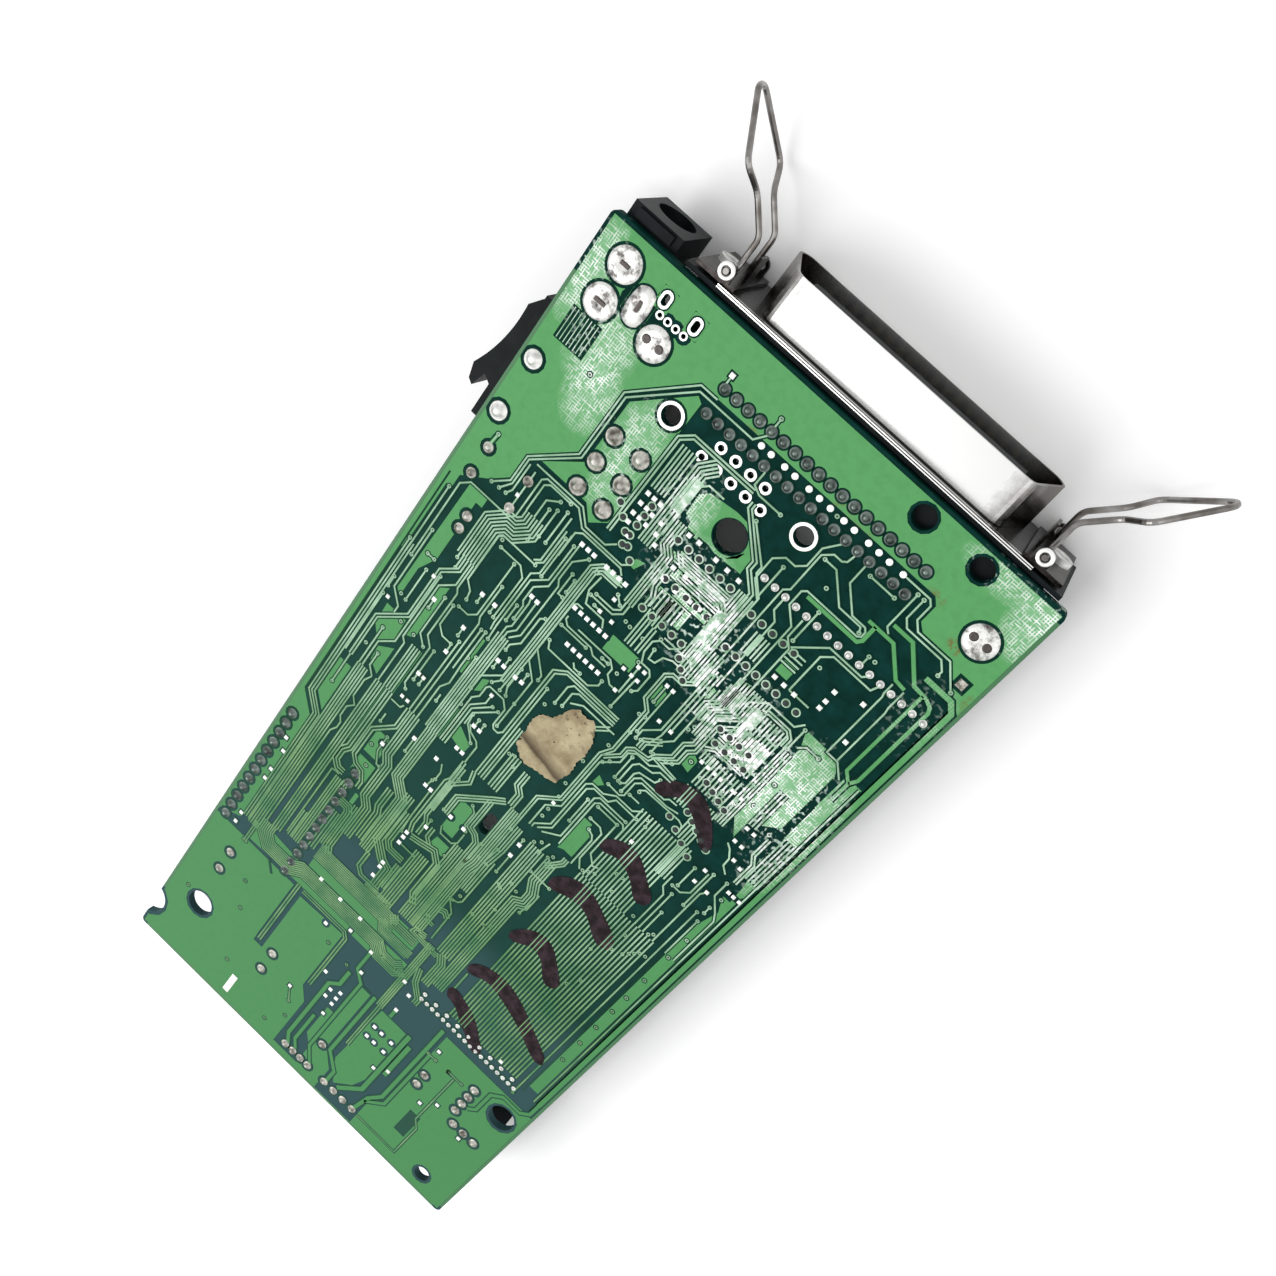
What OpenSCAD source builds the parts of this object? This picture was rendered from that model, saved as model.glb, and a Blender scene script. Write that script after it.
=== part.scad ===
// Main board of a small label printer, seen from its solder side: a green
// circuit board with a 36-way parallel port, a power jack and a rocker switch
// along two edges, and the components of such a printer on the other face.
//
// X runs across the board, towards the power jack. Y runs from the connector
// edge to the rear edge. Z is up, out of the solder face, which lies at Z = 0.
// The origin is the middle of the centre fixing hole.
// Places on the board are drilling coordinates: x from the copper's jack-side
// edge, y from its connector-side edge. Depths are counted down from the solder
// face.

/* [Board] */
// Width of the board, across the connector edge
board_w = 81.2; // [81:0.2:86]
// Length of the board, from the connector edge to the rear edge
board_l = 167.2; // [167:0.2:176]
// Thickness of the board
board_t = 1.6; // [1.2:0.1:2.0]
// Radius of the board's corners
board_corner = 1.0; // [0.5:0.25:2]
// Radius of the three large fixing holes
fixing_r = 2.65; // [2.2:0.05:2.8]
// Radius of the small fixing hole at the rear corner
small_fixing_r = 1.6; // [1.2:0.1:1.8]
// Bare rim of the board outside its copper
rim = 0.6; // [0.5:0.1:0.7]
// Distance of the centre fixing hole from the copper's connector-side edge
hole_y = 23.2; // [22.8:0.1:23.8]
// Radius of the half-round notch in the jack-side edge
notch_r = 3.7; // [3:0.1:4.2]
// Depth of that notch
notch_depth = 1.8; // [1.2:0.1:2.4]

/* [Copper and solder] */
// Thickness of the copper layer under its green coat
copper_t = 0.06; // [0.04:0.01:0.1]
// Bare laminate left round a joint or a track inside a copper area
moat = 0.35; // [0.25:0.05:0.5]
// Height of a solder joint over the board
joint_h = 0.8; // [0.5:0.1:1.2]

/* [Parallel port] */
// Middle of the port, from the jack-side edge
port_x = 44.9; // [44.5:0.1:45.3]
// Middle of the port, below the board's component face
port_drop = 7.2; // [7.2:0.1:7.8]
// How far the steel flange stands in front of the board
port_overhang = 1.5; // [1.4:0.1:2.0]
// Length of the nose in front of the flange
nose_l = 7.5; // [6.5:0.25:8.5]
// Height of the nose
nose_h = 12.2; // [11.8:0.1:12.6]
// Width of the nose on its side nearer the board
nose_near_w = 43; // [41:0.5:44]
// Width of the nose on its side away from the board
nose_far_w = 48.4; // [47.5:0.1:48.6]
// Thickness of the shell's sheet steel
shell_t = 0.45; // [0.35:0.05:0.6]
// Width of the steel flange
flange_w = 56; // [55.5:0.25:57]
// Height of the steel flange
flange_h = 16.4; // [15.6:0.2:17]
// Width of the black insulator behind the flange
insulator_w = 66.8; // [65:0.2:68]
// Contacts in each of the two rows
port_ways = 18; // [18]
// Spacing of the contacts
port_pitch = 2.16; // [2.1:0.02:2.2]
// Thickness of the tongue that carries the contacts
tongue_t = 2.6; // [2.2:0.1:2.8]

/* [Bails] */
// Diameter of the bail wire
bail_wire_d = 0.9; // [0.7:0.05:1.1]
// Distance of each bail's hinge from the port's middle
bail_hinge_x = 28.2; // [28:0.1:28.8]
// Distance of the hinge in front of the flange
bail_hinge_y = 1.8; // [1.8:0.1:2.2]
// Spacing of the bail's two legs at the hinge
bail_leg_gap = 7; // [6.8:0.1:7.6]
// Greatest spacing of the legs
bail_loop_w = 14.4; // [13:0.2:16]
// Straight length of a leg from the hinge to its outward bend
bail_leg_l = 5; // [4.5:0.1:5.4]
// Length of the loop beyond that bend
bail_reach = 19; // [17:0.5:21]
// Angle of the outward bend
bail_bend = 42; // [36:1:46]

/* [Power jack] */
// Middle of the power jack, from the jack-side edge
jack_x = 5.2; // [5.2:0.1:5.8]
// Width of the jack
jack_w = 8.7; // [8.6:0.1:9.4]
// Height of the jack
jack_h = 11; // [10.6:0.1:11.6]
// How far the jack stands in front of the board
jack_overhang = 2.4; // [2:0.1:3]
// Radius of the jack's round mouth
jack_mouth_r = 3.15; // [3:0.05:3.3]
// Diameter of the jack's centre pin
jack_pin_d = 2.0; // [1.6:0.1:2.4]

/* [Power switch] */
// Middle of the rocker switch, from the connector edge
switch_y = 26.2; // [26:0.1:27]
// Length of the switch's bezel along the board's edge
bezel_l = 21.4; // [21.4:0.1:22.4]
// Height of the bezel
bezel_h = 14; // [13.6:0.1:14.4]
// How far the bezel stands out of the board's edge
bezel_out = 1.4; // [1.2:0.1:1.8]
// Length of the rocker's paddle
rocker_l = 18; // [17:0.2:18]
// Tilt of the rocker to each side
rocker_tilt = 10; // [8:0.5:10]
// Radius of the rocker's pivot pins
pivot_r = 1.2; // [1:0.05:1.4]

/* [Components] */
// Diameter of the two large capacitors
cap_d = 12.5; // [11:0.5:12.5]
// Length of the two large capacitors
cap_h = 15.4; // [14:0.2:16]
// Width of the square processor
processor_w = 24; // [20:1:24]
// Legs on each side of the memory chip's socket
memory_ways = 12; // [12]

/* [Hidden] */

// Running clearance between pieces that move or slide together
clearance = 0.3;
// Pitches of through-hole parts
inch_pitch = 2.54;
metric_pitch = 2.0;
// Colours
green_coat = [0.41, 0.67, 0.43];
laminate_green = [0.07, 0.22, 0.2];
tin = [0.82, 0.82, 0.8];
dull_solder = [0.5, 0.51, 0.52];
steel = [0.72, 0.72, 0.72];
black_plastic = [0.12, 0.13, 0.14];

// ---- Places on the board -------------------------------------------------

// The copper field that the drilling coordinates measure
field_w = board_w - 2 * rim;
field_l = board_l - 2 * rim;

// The places below are drawn for a copper field of this length. A longer or shorter
// board moves its rear group back or forward and stretches the tracks before it.
drawn_l = 166;
stretch_from = 45;
stretch_to = 130;
function lengthened(y) = y
    + (field_l - drawn_l) * min(1, max(0, (y - stretch_from) / (stretch_to - stretch_from)));

// A drilling coordinate as a point of the model
function pt(p) = [field_w / 2 - p[0], lengthened(p[1]) - hole_y];

// Puts its children at a drilling coordinate, at a depth below the solder face
module at(p, depth = 0) {
    translate([pt(p)[0], pt(p)[1], -depth]) children();
}

// A copy of the children for each of a list of drilling coordinates
module at_each(places, depth = 0) {
    for (p = places) at(p, depth) children();
}

centre_hole = [field_w / 2, hole_y];
corner_hole = [7.35, drawn_l - 14.2];
side_hole = [field_w - 3.8, drawn_l - 29.3];
rear_hole = [field_w - 6.7, drawn_l - 3.8];
port_peg_holes = [[58.1, 2.5], [68.4, 2.5]];
notch_y = drawn_l - 6.0;
slot_at = [39.9, 90.0];
slot_size = [2.4, 4.6];

// Empty nine-way serial socket: four and five holes, and two lock holes
serial_middle = [35.3, 15.8];
serial_holes = concat(
    [for (i = [0:3]) serial_middle + [(i - 1.5) * 2.77, -1.42]],
    [for (i = [0:4]) serial_middle + [(i - 2) * 2.77, 1.42]]);
serial_locks = [serial_middle - [12.5, 0], serial_middle + [12.5, 0]];
// Empty small socket: four holes and two slots
usb_middle = [15.35, 5.2];
usb_holes = [for (i = [0:3]) usb_middle + [(i - 1.5) * 1.46, 1.05]];
usb_slots = [usb_middle - [2.76, 1.05], usb_middle + [2.76, -1.05]];

// Rows of joints
function row(start, step, n) = [for (i = [0:n - 1]) start + i * step];
port_row_y = [7.8, 12.1];
port_places = concat(
    row([port_x - (port_ways - 1) / 2 * port_pitch, port_row_y[0]], [port_pitch, 0], port_ways),
    row([port_x - (port_ways - 1) / 2 * port_pitch, port_row_y[1]], [port_pitch, 0], port_ways));
// The board locks stand beyond the last contacts on each side
lock_out = (port_ways - 1) / 2 * port_pitch + 11.74;
lock_places = [[port_x - lock_out, 9.9], [port_x + lock_out, 9.9]];
jack_places = [[jack_x, 4.3], [jack_x, 10.45], [jack_x + 4.85, 7.35]];
switch_places = [[1.9, switch_y - 2.7], [1.9, switch_y + 7]];
choke_places = concat(row([18.1, 23.8], [0, 4.85], 3), row([23.2, 23.8], [0, 4.85], 3));
memory_row_x = [1.6, 16.84];
memory_places = concat(
    row([memory_row_x[0], 102], [0, inch_pitch], memory_ways),
    row([memory_row_x[1], 102], [0, inch_pitch], memory_ways));
header_ways = 16;
header_places = row([47.5, 24.2], [metric_pitch, 0], header_ways);
head_ways = 18;
head_pitch = 1.35;
head_start = [51, 129.2];
head_places = concat(row(head_start, [head_pitch, 0], head_ways),
    row(head_start - [0, 1.4], [2 * head_pitch, 0], head_ways / 2));
sensor_places = row([37.1, 163], [metric_pitch, 0], 4);
motor_places = row([47.6, 163], [2.5, 0], 4);
regulator_places = row([70.8, 146.4], [inch_pitch, 0], 3);
corner_cap_places = [[6.55, 136.4], [6.55, 141.4]];
rear_cap_places = [[24.4, 147.8], [24.4, 152.8]];
small_cap_places = [[7.1, 49.8], [7.1, 52.3]];
fuse_places = [[3.75, 38.7], [3.75, 43.8]];
diode_places = [[11.7, 38.4], [11.7, 43.8]];
rear_places = concat(corner_cap_places, rear_cap_places, small_cap_places, fuse_places,
    diode_places, sensor_places, motor_places, regulator_places,
    [[60.8, 142.6], [60.8, 145.6], [42.7, 155.9]],
    row([69.3, 136.4], [0, 2.35], 4));

// ---- Board ----------------------------------------------------------------

// Outline of the board with its round corners and its notch
module board_outline() {
    difference() {
        union() {
            translate([-board_w / 2, board_corner - rim - hole_y])
                square([board_w, board_l - 2 * board_corner]);
            translate([board_corner - board_w / 2, -rim - hole_y])
                square([board_w - 2 * board_corner, board_l]);
            inset = board_corner - rim;
            for (x = [inset, field_w - inset], y = [inset, drawn_l - inset])
                translate(pt([x, y])) circle(board_corner, $fn = 32);
        }
        translate(pt([notch_depth - notch_r, notch_y])) circle(notch_r, $fn = 64);
    }
}

// A slot with round ends, standing along Y
module slot_2d(size) {
    translate([-size[0] / 2, -(size[1] - size[0]) / 2]) square([size[0], size[1] - size[0]]);
    for (s = [-1, 1])
        translate([0, s * (size[1] - size[0]) / 2]) circle(size[0] / 2, $fn = 32);
}

module drill(r) {
    translate([0, 0, -board_t - 1]) cylinder(h = board_t + 2, r = r, $fn = 64);
}

module board() {
    color(laminate_green)
    difference() {
        translate([0, 0, -board_t]) linear_extrude(board_t) board_outline();
        at_each([centre_hole, corner_hole, side_hole]) drill(fixing_r);
        at(rear_hole) drill(small_fixing_r);
        at_each(port_peg_holes) drill(1.8);
        at_each(serial_holes) drill(0.5);
        at_each(serial_locks) drill(1.55);
        at_each(usb_holes) drill(0.36);
        for (p = usb_slots)
            at(p, board_t + 1) linear_extrude(board_t + 2) slot_2d([1.0, 1.8]);
        at(slot_at, board_t + 1) linear_extrude(board_t + 2) slot_2d(slot_size);
    }
}

// ---- Copper ---------------------------------------------------------------

// Outline of a track of width w along a bent centre line, with mitred bends
function unit(v) = v / norm(v);
function side_of(v) = [-v[1], v[0]];
function mitre(p, i) =
    let (n = len(p),
         a = side_of(unit(i == 0 ? p[1] - p[0] : p[i] - p[i - 1])),
         b = side_of(unit(i == n - 1 ? p[n - 1] - p[n - 2] : p[i + 1] - p[i])),
         m = unit(a + b))
    m / (m * a);
function band(p, w) = concat(
    [for (i = [0:len(p) - 1]) p[i] + mitre(p, i) * w / 2],
    [for (i = [len(p) - 1:-1:0]) p[i] - mitre(p, i) * w / 2]);
// The centre line of track k of a bundle of n, spaced by the pitch
function beside(p, k, n, pitch) =
    [for (i = [0:len(p) - 1]) p[i] + mitre(p, i) * (k - (n - 1) / 2) * pitch];
function placed(points) = [for (p = points) pt(p)];

track_w = 0.3;
// Bundles of parallel tracks: centre line, number of tracks and pitch
bundles = [
    [[[2.3, 48], [2.3, 95], [5.6, 99], [5.6, 126]], 2, 0.7],
    [[[8.2, 47], [8.2, 59.5], [6.6, 63], [6.6, 127]], 3, 0.7],
    [[[10.4, 63], [10.4, 126]], 4, 0.7],
    [[[19.3, 62], [19.3, 90], [20.6, 94], [20.6, 118]], 4, 0.7],
    [[[22.6, 47], [22.6, 60], [23.6, 66], [23.6, 96], [26.4, 100], [26.4, 112]], 4, 0.7],
    [[[33.6, 61], [33.6, 84], [31, 88.5], [31, 100]], 4, 0.7],
    [[[28, 49], [28, 60.5], [30.6, 63.5], [30.6, 74]], 3, 0.7],
    [[[37.6, 92], [37.6, 110]], 2, 0.7],
    [[[42, 76], [42, 92], [41.4, 98], [41.4, 112]], 3, 0.7],
    [[[47.2, 50], [47.2, 60], [46.4, 64], [46.4, 84]], 4, 0.7],
    [[[48.6, 88], [48.6, 110]], 5, 0.75],
    [[[51.6, 72], [54, 72], [54, 82]], 3, 0.7],
    [[[60, 78], [60, 124]], 12, 0.72],
    [[[69.8, 86], [69.8, 124]], 11, 0.72],
    [[[63, 61], [63, 75]], 7, 0.72],
    [[[78.1, 66], [78.1, 128]], 1, 0.7],
    [[[30, 124.5], [44, 124.5]], 3, 0.7],
    [[[20.6, 132], [20.6, 147]], 2, 0.7],
    [[[54.6, 138], [54.6, 152], [52.5, 158.5]], 1, 0.7],
    [[[44.6, 138], [44.6, 155], [47.2, 158.6]], 1, 0.7]];
// Areas of copper left whole
pours = [
    // along the connectors and down the jack-side edge
    [[0, 0], [field_w, 0], [field_w, 20], [77.8, 18.3], [74, 14.4], [68.6, 14.4], [67.4, 13.4],
     [67.4, 10.4], [66.4, 9.4], [23.4, 9.5], [15.3, 18.2], [15.3, 29.3], [9.4, 35], [9.4, 39.6],
     [6.4, 42.6], [4.2, 44.2], [2.5, 45.4], [2.3, 60], [1, 62], [1, 96.2], [4.3, 99.6],
     [4.3, 128], [0, 130]],
    // round the small capacitor and the choke
    [[4.6, 45.3], [8.2, 45.3], [8.2, 50], [9.3, 56.6], [7.4, 61], [7.6, 70], [6.4, 70], [4.3, 68]],
    [[16.9, 18.4], [24.2, 11], [25.2, 11.6], [25.2, 34.3], [22.6, 36.6], [20.6, 34.4],
     [11.6, 34.4], [16.9, 29.8]],
    // round the centre hole
    [[32.8, 21.5], [34, 20.3], [38.6, 19.7], [42.5, 19.9], [44.3, 23], [44.5, 26.3], [36, 26.3],
     [33, 25]],
    // beside the processor and along the far edge
    [[67.8, 38], [73.2, 38], [74.4, 40], [74.4, 52], [70, 55.6], [70, 59], [67.8, 56]],
    [[75.4, 38.4], [78.4, 38.4], [78.4, 126], [75.6, 126], [75.6, 76], [76.9, 70], [76.5, 64],
     [75.4, 60]],
    // across the rear edge, with the lanes of the capacitor and the motor sockets open
    [[0, 131], [19.8, 131], [19.8, 148.5], [22, 148.5], [22, 132], [32.6, 131.4], [32.6, 148],
     [34.8, 151], [34.8, 164.6], [41, 164.6], [41, 159], [38.9, 156.4], [38.9, 147.6],
     [41.2, 147.6], [41.2, 137.6], [43.6, 137.6], [43.6, 155.5], [46.8, 159.6],
     [46.8, drawn_l], [0, drawn_l]],
    [[47, 138.3], [53.2, 138.3], [53.2, 157], [49, 161.4], [46.2, 156]],
    [[59, 131.6], [field_w, 131.6], [field_w, drawn_l], [56.5, drawn_l], [56.5, 159], [59, 156]],
    // small areas between the tracks
    [[15.4, 91.5], [18.5, 91.5], [18.5, 96.8], [15.4, 96.8]],
    [[15.4, 98], [19, 98], [19, 102.3], [15.4, 102.3]],
    [[34, 90], [37.4, 90], [37.4, 97.5], [34, 97.5]],
    [[51, 75.5], [54, 75.5], [54, 82], [51, 83.5]],
    [[36, 47.5], [41.5, 47.5], [41.5, 50.5], [36, 50.5]]];

// What copper areas and tracks keep clear round each of a list of places
clear_sides = 12;
module clear_round(places, r) {
    for (p = places) translate(pt(p)) circle(r, $fn = clear_sides);
}
module clear_box(p, size) {
    translate(pt(p)) square([size[0] + 2 * moat, size[1] + 2 * moat], center = true);
}

module clear_of_joints() {
    clear_round(concat(port_places, header_places, head_places), 0.95);
    clear_round(concat(memory_places, rear_places), 1.45);
    clear_round(choke_places, 1.85);
    clear_round(concat(jack_places, lock_places), 3.12);
    clear_box(jack_places[2], side_land);
    clear_box(bright_bar, bright_bar_size);
    clear_round(switch_places, 2.1);
    clear_round([centre_hole, corner_hole, side_hole], fixing_r + 0.6);
    clear_round([rear_hole], small_fixing_r + 0.6);
    clear_round(port_peg_holes, 2.3);
    clear_round(serial_locks, 2.5);
    clear_round(concat(serial_holes, usb_holes), 1.25);
    for (p = usb_slots) clear_box(p, [1.9, 2.7]);
    clear_round([[notch_depth - notch_r, notch_y]], notch_r + rim + 0.2);
    clear_round(test_places, 0.95);
}

module track_copper() {
    color([0.62, 0.8, 0.66])
    linear_extrude(copper_t) difference() {
        for (b = bundles, k = [0:b[1] - 1])
            polygon(placed(band(beside(b[0], k, b[1], b[2]), track_w)));
        clear_of_joints();
    }
}

module ground_copper() {
    color(green_coat)
    linear_extrude(copper_t) difference() {
        for (area = pours) polygon(placed(area));
        for (b = bundles)
            polygon(placed(band(b[0], (b[1] - 1) * b[2] + track_w + 2 * moat)));
        clear_of_joints();
    }
}

// Plated rims of the holes that no part was fitted to
module empty_hole_lands() {
    color(tin)
    linear_extrude(copper_t) {
        for (p = serial_locks) translate(pt(p)) difference() {
            circle(2.05, $fn = 48);
            circle(1.55, $fn = 48);
        }
        for (p = serial_holes) translate(pt(p)) difference() {
            circle(0.92, $fn = 32);
            circle(0.5, $fn = 32);
        }
        for (p = usb_holes) translate(pt(p)) difference() {
            circle(0.64, $fn = 32);
            circle(0.36, $fn = 32);
        }
        for (p = usb_slots) translate(pt(p)) difference() {
            slot_2d([1.8, 2.7]);
            slot_2d([1.0, 1.8]);
        }
    }
}

// Bright test lands, in rows between the tracks
test_places = concat(
    row([28.9, 48.6], [1.26, 0], 6), row([31.5, 54.2], [1.27, 0], 6),
    row([28.9, 39.9], [1.26, 0], 4), row([23.9, 39.9], [1.22, 0], 3),
    [[22.6, 52.3], [23.8, 52.4], [16.2, 58.1], [18.8, 58.0], [10.4, 64.9], [16.9, 65.0],
     [16.9, 70.6], [24.5, 65], [25.8, 65.1], [28.3, 65.1], [29.6, 65], [27.9, 77.4], [29.1, 77.4],
     [27.9, 83.0], [29.1, 83.0], [26.3, 87.5], [27.6, 93.1], [28.8, 93.1], [15.4, 77.4],
     [21.3, 87.6], [17.5, 93.1], [34.3, 94.3], [37.3, 94.3], [30.1, 103.4], [30.1, 104.7],
     [30.1, 106.2], [30.1, 112.1], [30.1, 113.3], [30.1, 115.8], [32.1, 99.6],
     [46.1, 88.6], [46.1, 91.4], [23.2, 125.2], [28.2, 125.5], [33.2, 125.5], [28.8, 132.3],
     [48.9, 130.8], [48.9, 135.6], [37.2, 143.7], [37.2, 145.8], [39.1, 142.6], [39.1, 144.4],
     [39.1, 146.2], [34.4, 141.2], [48, 142.6], [49.8, 142.6], [52.3, 142.6],
     [48, 145.7], [49.8, 145.7], [52.3, 145.7]]);

bright_bar = [21.3, 161.8];
bright_bar_size = [1.5, 5.6];
module test_lands() {
    color(tin)
    for (p = test_places) at(p) cylinder(h = 0.12, r = 0.5, $fn = 24);
    color(tin)
    at(bright_bar) linear_extrude(0.12) slot_2d(bright_bar_size);
}

// ---- Solder joints --------------------------------------------------------

// A joint: a wetted foot, a drawn-up cone and the tip of the leg in its middle
module joint(r, h = joint_h, tip = 0.35) {
    cylinder(h = 0.15, r = r, $fn = 24);
    translate([0, 0, 0.15]) cylinder(h = h * 0.6, r1 = r, r2 = tip * 1.35, $fn = 24);
    translate([0, 0, 0.15 + h * 0.6]) cylinder(h = h * 0.4, r = tip, $fn = 16);
}

module port_joints() {
    color(dull_solder) at_each(port_places) joint(0.88);
}

side_land = [3.6, 6.2];
// A land of the power jack holds a wide flat pool of solder with a blade's tip in it
module jack_joints() {
    color(tin) {
        for (p = [jack_places[0], jack_places[1]]) at(p) {
            cylinder(h = 0.2, r = 2.65, $fn = 48);
            translate([0, 0, 0.2]) cylinder(h = 0.5, r1 = 2.5, r2 = 1.3, $fn = 48);
            translate([-1.1, -0.3, 0.7]) cube([2.2, 0.6, 0.35]);
        }
        at(jack_places[2]) {
            translate([-side_land[0] / 2, -side_land[1] / 2, 0]) cube([side_land[0], side_land[1], 0.2]);
            translate([0, 0, 0.2]) cylinder(h = 0.5, r1 = 1.75, r2 = 1.2, $fn = 48);
            translate([-0.3, -1.1, 0.7]) cube([0.6, 2.2, 0.35]);
        }
        at_each(lock_places) {
            cylinder(h = 0.2, r = 2.65, $fn = 48);
            for (s = [-1, 1]) translate([s * 1.1, 0, 0.2]) cylinder(h = 0.6, r1 = 0.9, r2 = 0.5, $fn = 24);
        }
    }
}

module switch_joints() {
    color(tin) at_each(switch_places) joint(1.5, 0.9, 0.6);
}

module choke_joints() {
    color(dull_solder) at_each(choke_places) joint(1.4, 0.9, 0.4);
}

module memory_joints() {
    color(dull_solder) at_each(memory_places) joint(0.95);
}

module header_joints() {
    color(tin) at_each(header_places) joint(0.62, 0.6, 0.28);
}

module head_socket_joints() {
    color(tin) at_each(head_places) joint(0.45, 0.4, 0.2);
}

module rear_joints() {
    color(tin) at_each(rear_places) joint(0.9, 0.7, 0.35);
}

// ---- Parallel port --------------------------------------------------------

// The port's own frame: its middle across, its flange's front face, its middle depth
port_depth = board_t + port_drop;
flange_t = 0.5;
plate_t = port_overhang - flange_t - clearance;
module on_port() {
    translate([pt([port_x, 0])[0], -port_overhang - rim - hole_y, -port_depth]) children();
}

// Section of the nose: wider on the side away from the board
module nose_section(inset) {
    r = 2.2 - inset;
    near = nose_near_w / 2;
    far = nose_far_w / 2;
    hull() {
        for (s = [-1, 1]) {
            translate([s * (near - 2.2), nose_h / 2 - 2.2]) circle(r, $fn = 24);
            translate([s * (far - 2.2), 2.2 - nose_h / 2]) circle(r, $fn = 24);
        }
    }
}

// Turns a section drawn in the port's X and Z into a body that runs along Y
module along_y(length) {
    translate([0, length, 0]) rotate([90, 0, 0]) linear_extrude(length) children();
}

tongue_l = nose_l - 1.1;
insulator_h = flange_h - 0.6;
block_back = 5;
wing_back = 13;
wing_w = 5.6;
wing_h = 5;
// The black insulator: a plate behind the flange, a block under the board, a
// wing at each end for the board locks, and the tongue that stands in the nose
module port_insulator() {
    block_w = 2 * lock_out + 1.8;
    block_top = port_drop;
    color(black_plastic)
    on_port() {
        translate([-insulator_w / 2, flange_t, -insulator_h / 2])
            cube([insulator_w, plate_t, insulator_h]);
        translate([-block_w / 2, flange_t + plate_t / 2, -insulator_h / 2 + 1.2])
            cube([block_w, plate_t / 2 + block_back + clearance, insulator_h / 2 - 1.2 + block_top]);
        for (s = [-1, 1])
            translate([s * (block_w - wing_w) / 2 - wing_w / 2, flange_t + plate_t / 2, block_top - wing_h])
                cube([wing_w, plate_t / 2 + wing_back, wing_h]);
        translate([-nose_near_w / 2 + 2.4, -tongue_l, -tongue_t / 2])
            cube([nose_near_w - 4.8, tongue_l + flange_t + plate_t / 2, tongue_t]);
    }
}

// The steel shell: a flange with the drawn nose round the mouth
module port_shell() {
    color(steel)
    on_port() difference() {
        union() {
            translate([-flange_w / 2, 0, -flange_h / 2]) cube([flange_w, flange_t, flange_h]);
            translate([0, -nose_l, 0]) along_y(nose_l + flange_t) nose_section(0);
        }
        translate([0, -nose_l - 1, 0]) along_y(nose_l + flange_t + 2) nose_section(shell_t);
    }
}

// The contacts lie on both faces of the tongue
contact_t = 0.2;
module port_contacts() {
    color([0.85, 0.7, 0.35])
    on_port() for (i = [0:port_ways - 1], s = [-1, 1])
        translate([(i - (port_ways - 1) / 2) * port_pitch - 0.5, 0.6 - tongue_l,
            s > 0 ? tongue_t / 2 : -tongue_t / 2 - contact_t])
            cube([1.0, tongue_l - 0.6, contact_t]);
}

// The contacts' tails come out of the back of the block, run rearwards and turn
// up to the board: the near row from the upper contacts, the far row from the lower
tail_t = 0.6;
module port_tails() {
    block_face = block_back - rim;
    for (i = [0:port_ways - 1], j = [0, 1]) {
        level = port_depth + (j == 0 ? -tongue_t / 2 : tongue_t / 2);
        place = port_places[i + j * port_ways];
        color(tin)
        at([place[0], block_face]) {
            translate([-tail_t / 2, 0, -level - tail_t / 2])
                cube([tail_t, place[1] - block_face + tail_t / 2, tail_t]);
            translate([-tail_t / 2, place[1] - block_face - tail_t / 2, -level])
                cube([tail_t, tail_t, level - board_t]);
        }
    }
}

ear_t = 0.6;
ear_out = bail_leg_gap / 2 + 4.1;
hinge_hole_r = bail_wire_d / 2 + 0.25;
screw_x = bail_hinge_x + 2.1;
// A bail bracket: a steel plate on the flange with two ears for the hinge and
// a leaf between the bail's legs
module bail_bracket(s) {
    ear_r = 1.25;
    color(steel)
    on_port() scale_side(s) {
        difference() {
            translate([bail_hinge_x - 2.4, -ear_t, -ear_out]) cube([6.6, ear_t, 2 * ear_out]);
            translate([screw_x, 0.5, 0]) rotate([90, 0, 0]) cylinder(h = 2, r = 1.0 + 0.05, $fn = 32);
        }
        for (z = [ear_out - ear_t, -ear_out]) translate([bail_hinge_x, -bail_hinge_y, z]) difference() {
            union() {
                cylinder(h = ear_t, r = ear_r, $fn = 32);
                translate([-ear_r, 0, 0]) cube([2 * ear_r, bail_hinge_y - ear_t / 2, ear_t]);
            }
            translate([0, 0, -1]) cylinder(h = ear_t + 2, r = hinge_hole_r, $fn = 32);
        }
        translate([bail_hinge_x - 1.6, -4.6, -1.6]) cube([0.4, 4.6, 3.2]);
    }
}

// A side of the port: s is 1 towards the jack and -1 away from it
module scale_side(s) {
    if (s > 0) children();
    else mirror([1, 0, 0]) children();
}

module bail_bracket_right() { bail_bracket(1); }
module bail_bracket_left() { bail_bracket(-1); }

// The screw that holds a bracket to the insulator
module bail_screw(s) {
    color(tin)
    on_port() scale_side(s) translate([screw_x, -ear_t, 0]) rotate([90, 0, 0]) {
        translate([0, 0, -ear_t]) cylinder(h = ear_t, r = 1.0, $fn = 32);
        difference() {
            cylinder(h = 0.9, r = 1.75, $fn = 32);
            translate([-2, -0.25, 0.5]) cube([4, 0.5, 1]);
        }
    }
}

module bail_screw_right() { bail_screw(1); }
module bail_screw_left() { bail_screw(-1); }

// ---- Bails ----------------------------------------------------------------

// Points of a bent line with its corners rounded: a corner [s, z, reach] becomes
// a short parabola that starts and ends that reach from it, or stays if it is 0
function rounded(p, steps) = [
    for (i = [0:len(p) - 1]) let (here = [p[i][0], p[i][1]])
        if (p[i][2] == 0) here
        else let (a = here + unit([p[i - 1][0], p[i - 1][1]] - here) * p[i][2],
                  b = here + unit([p[i + 1][0], p[i + 1][1]] - here) * p[i][2])
            each [for (k = [0:steps]) let (t = k / steps)
                (1 - t) * (1 - t) * a + 2 * t * (1 - t) * here + t * t * b]];

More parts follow.
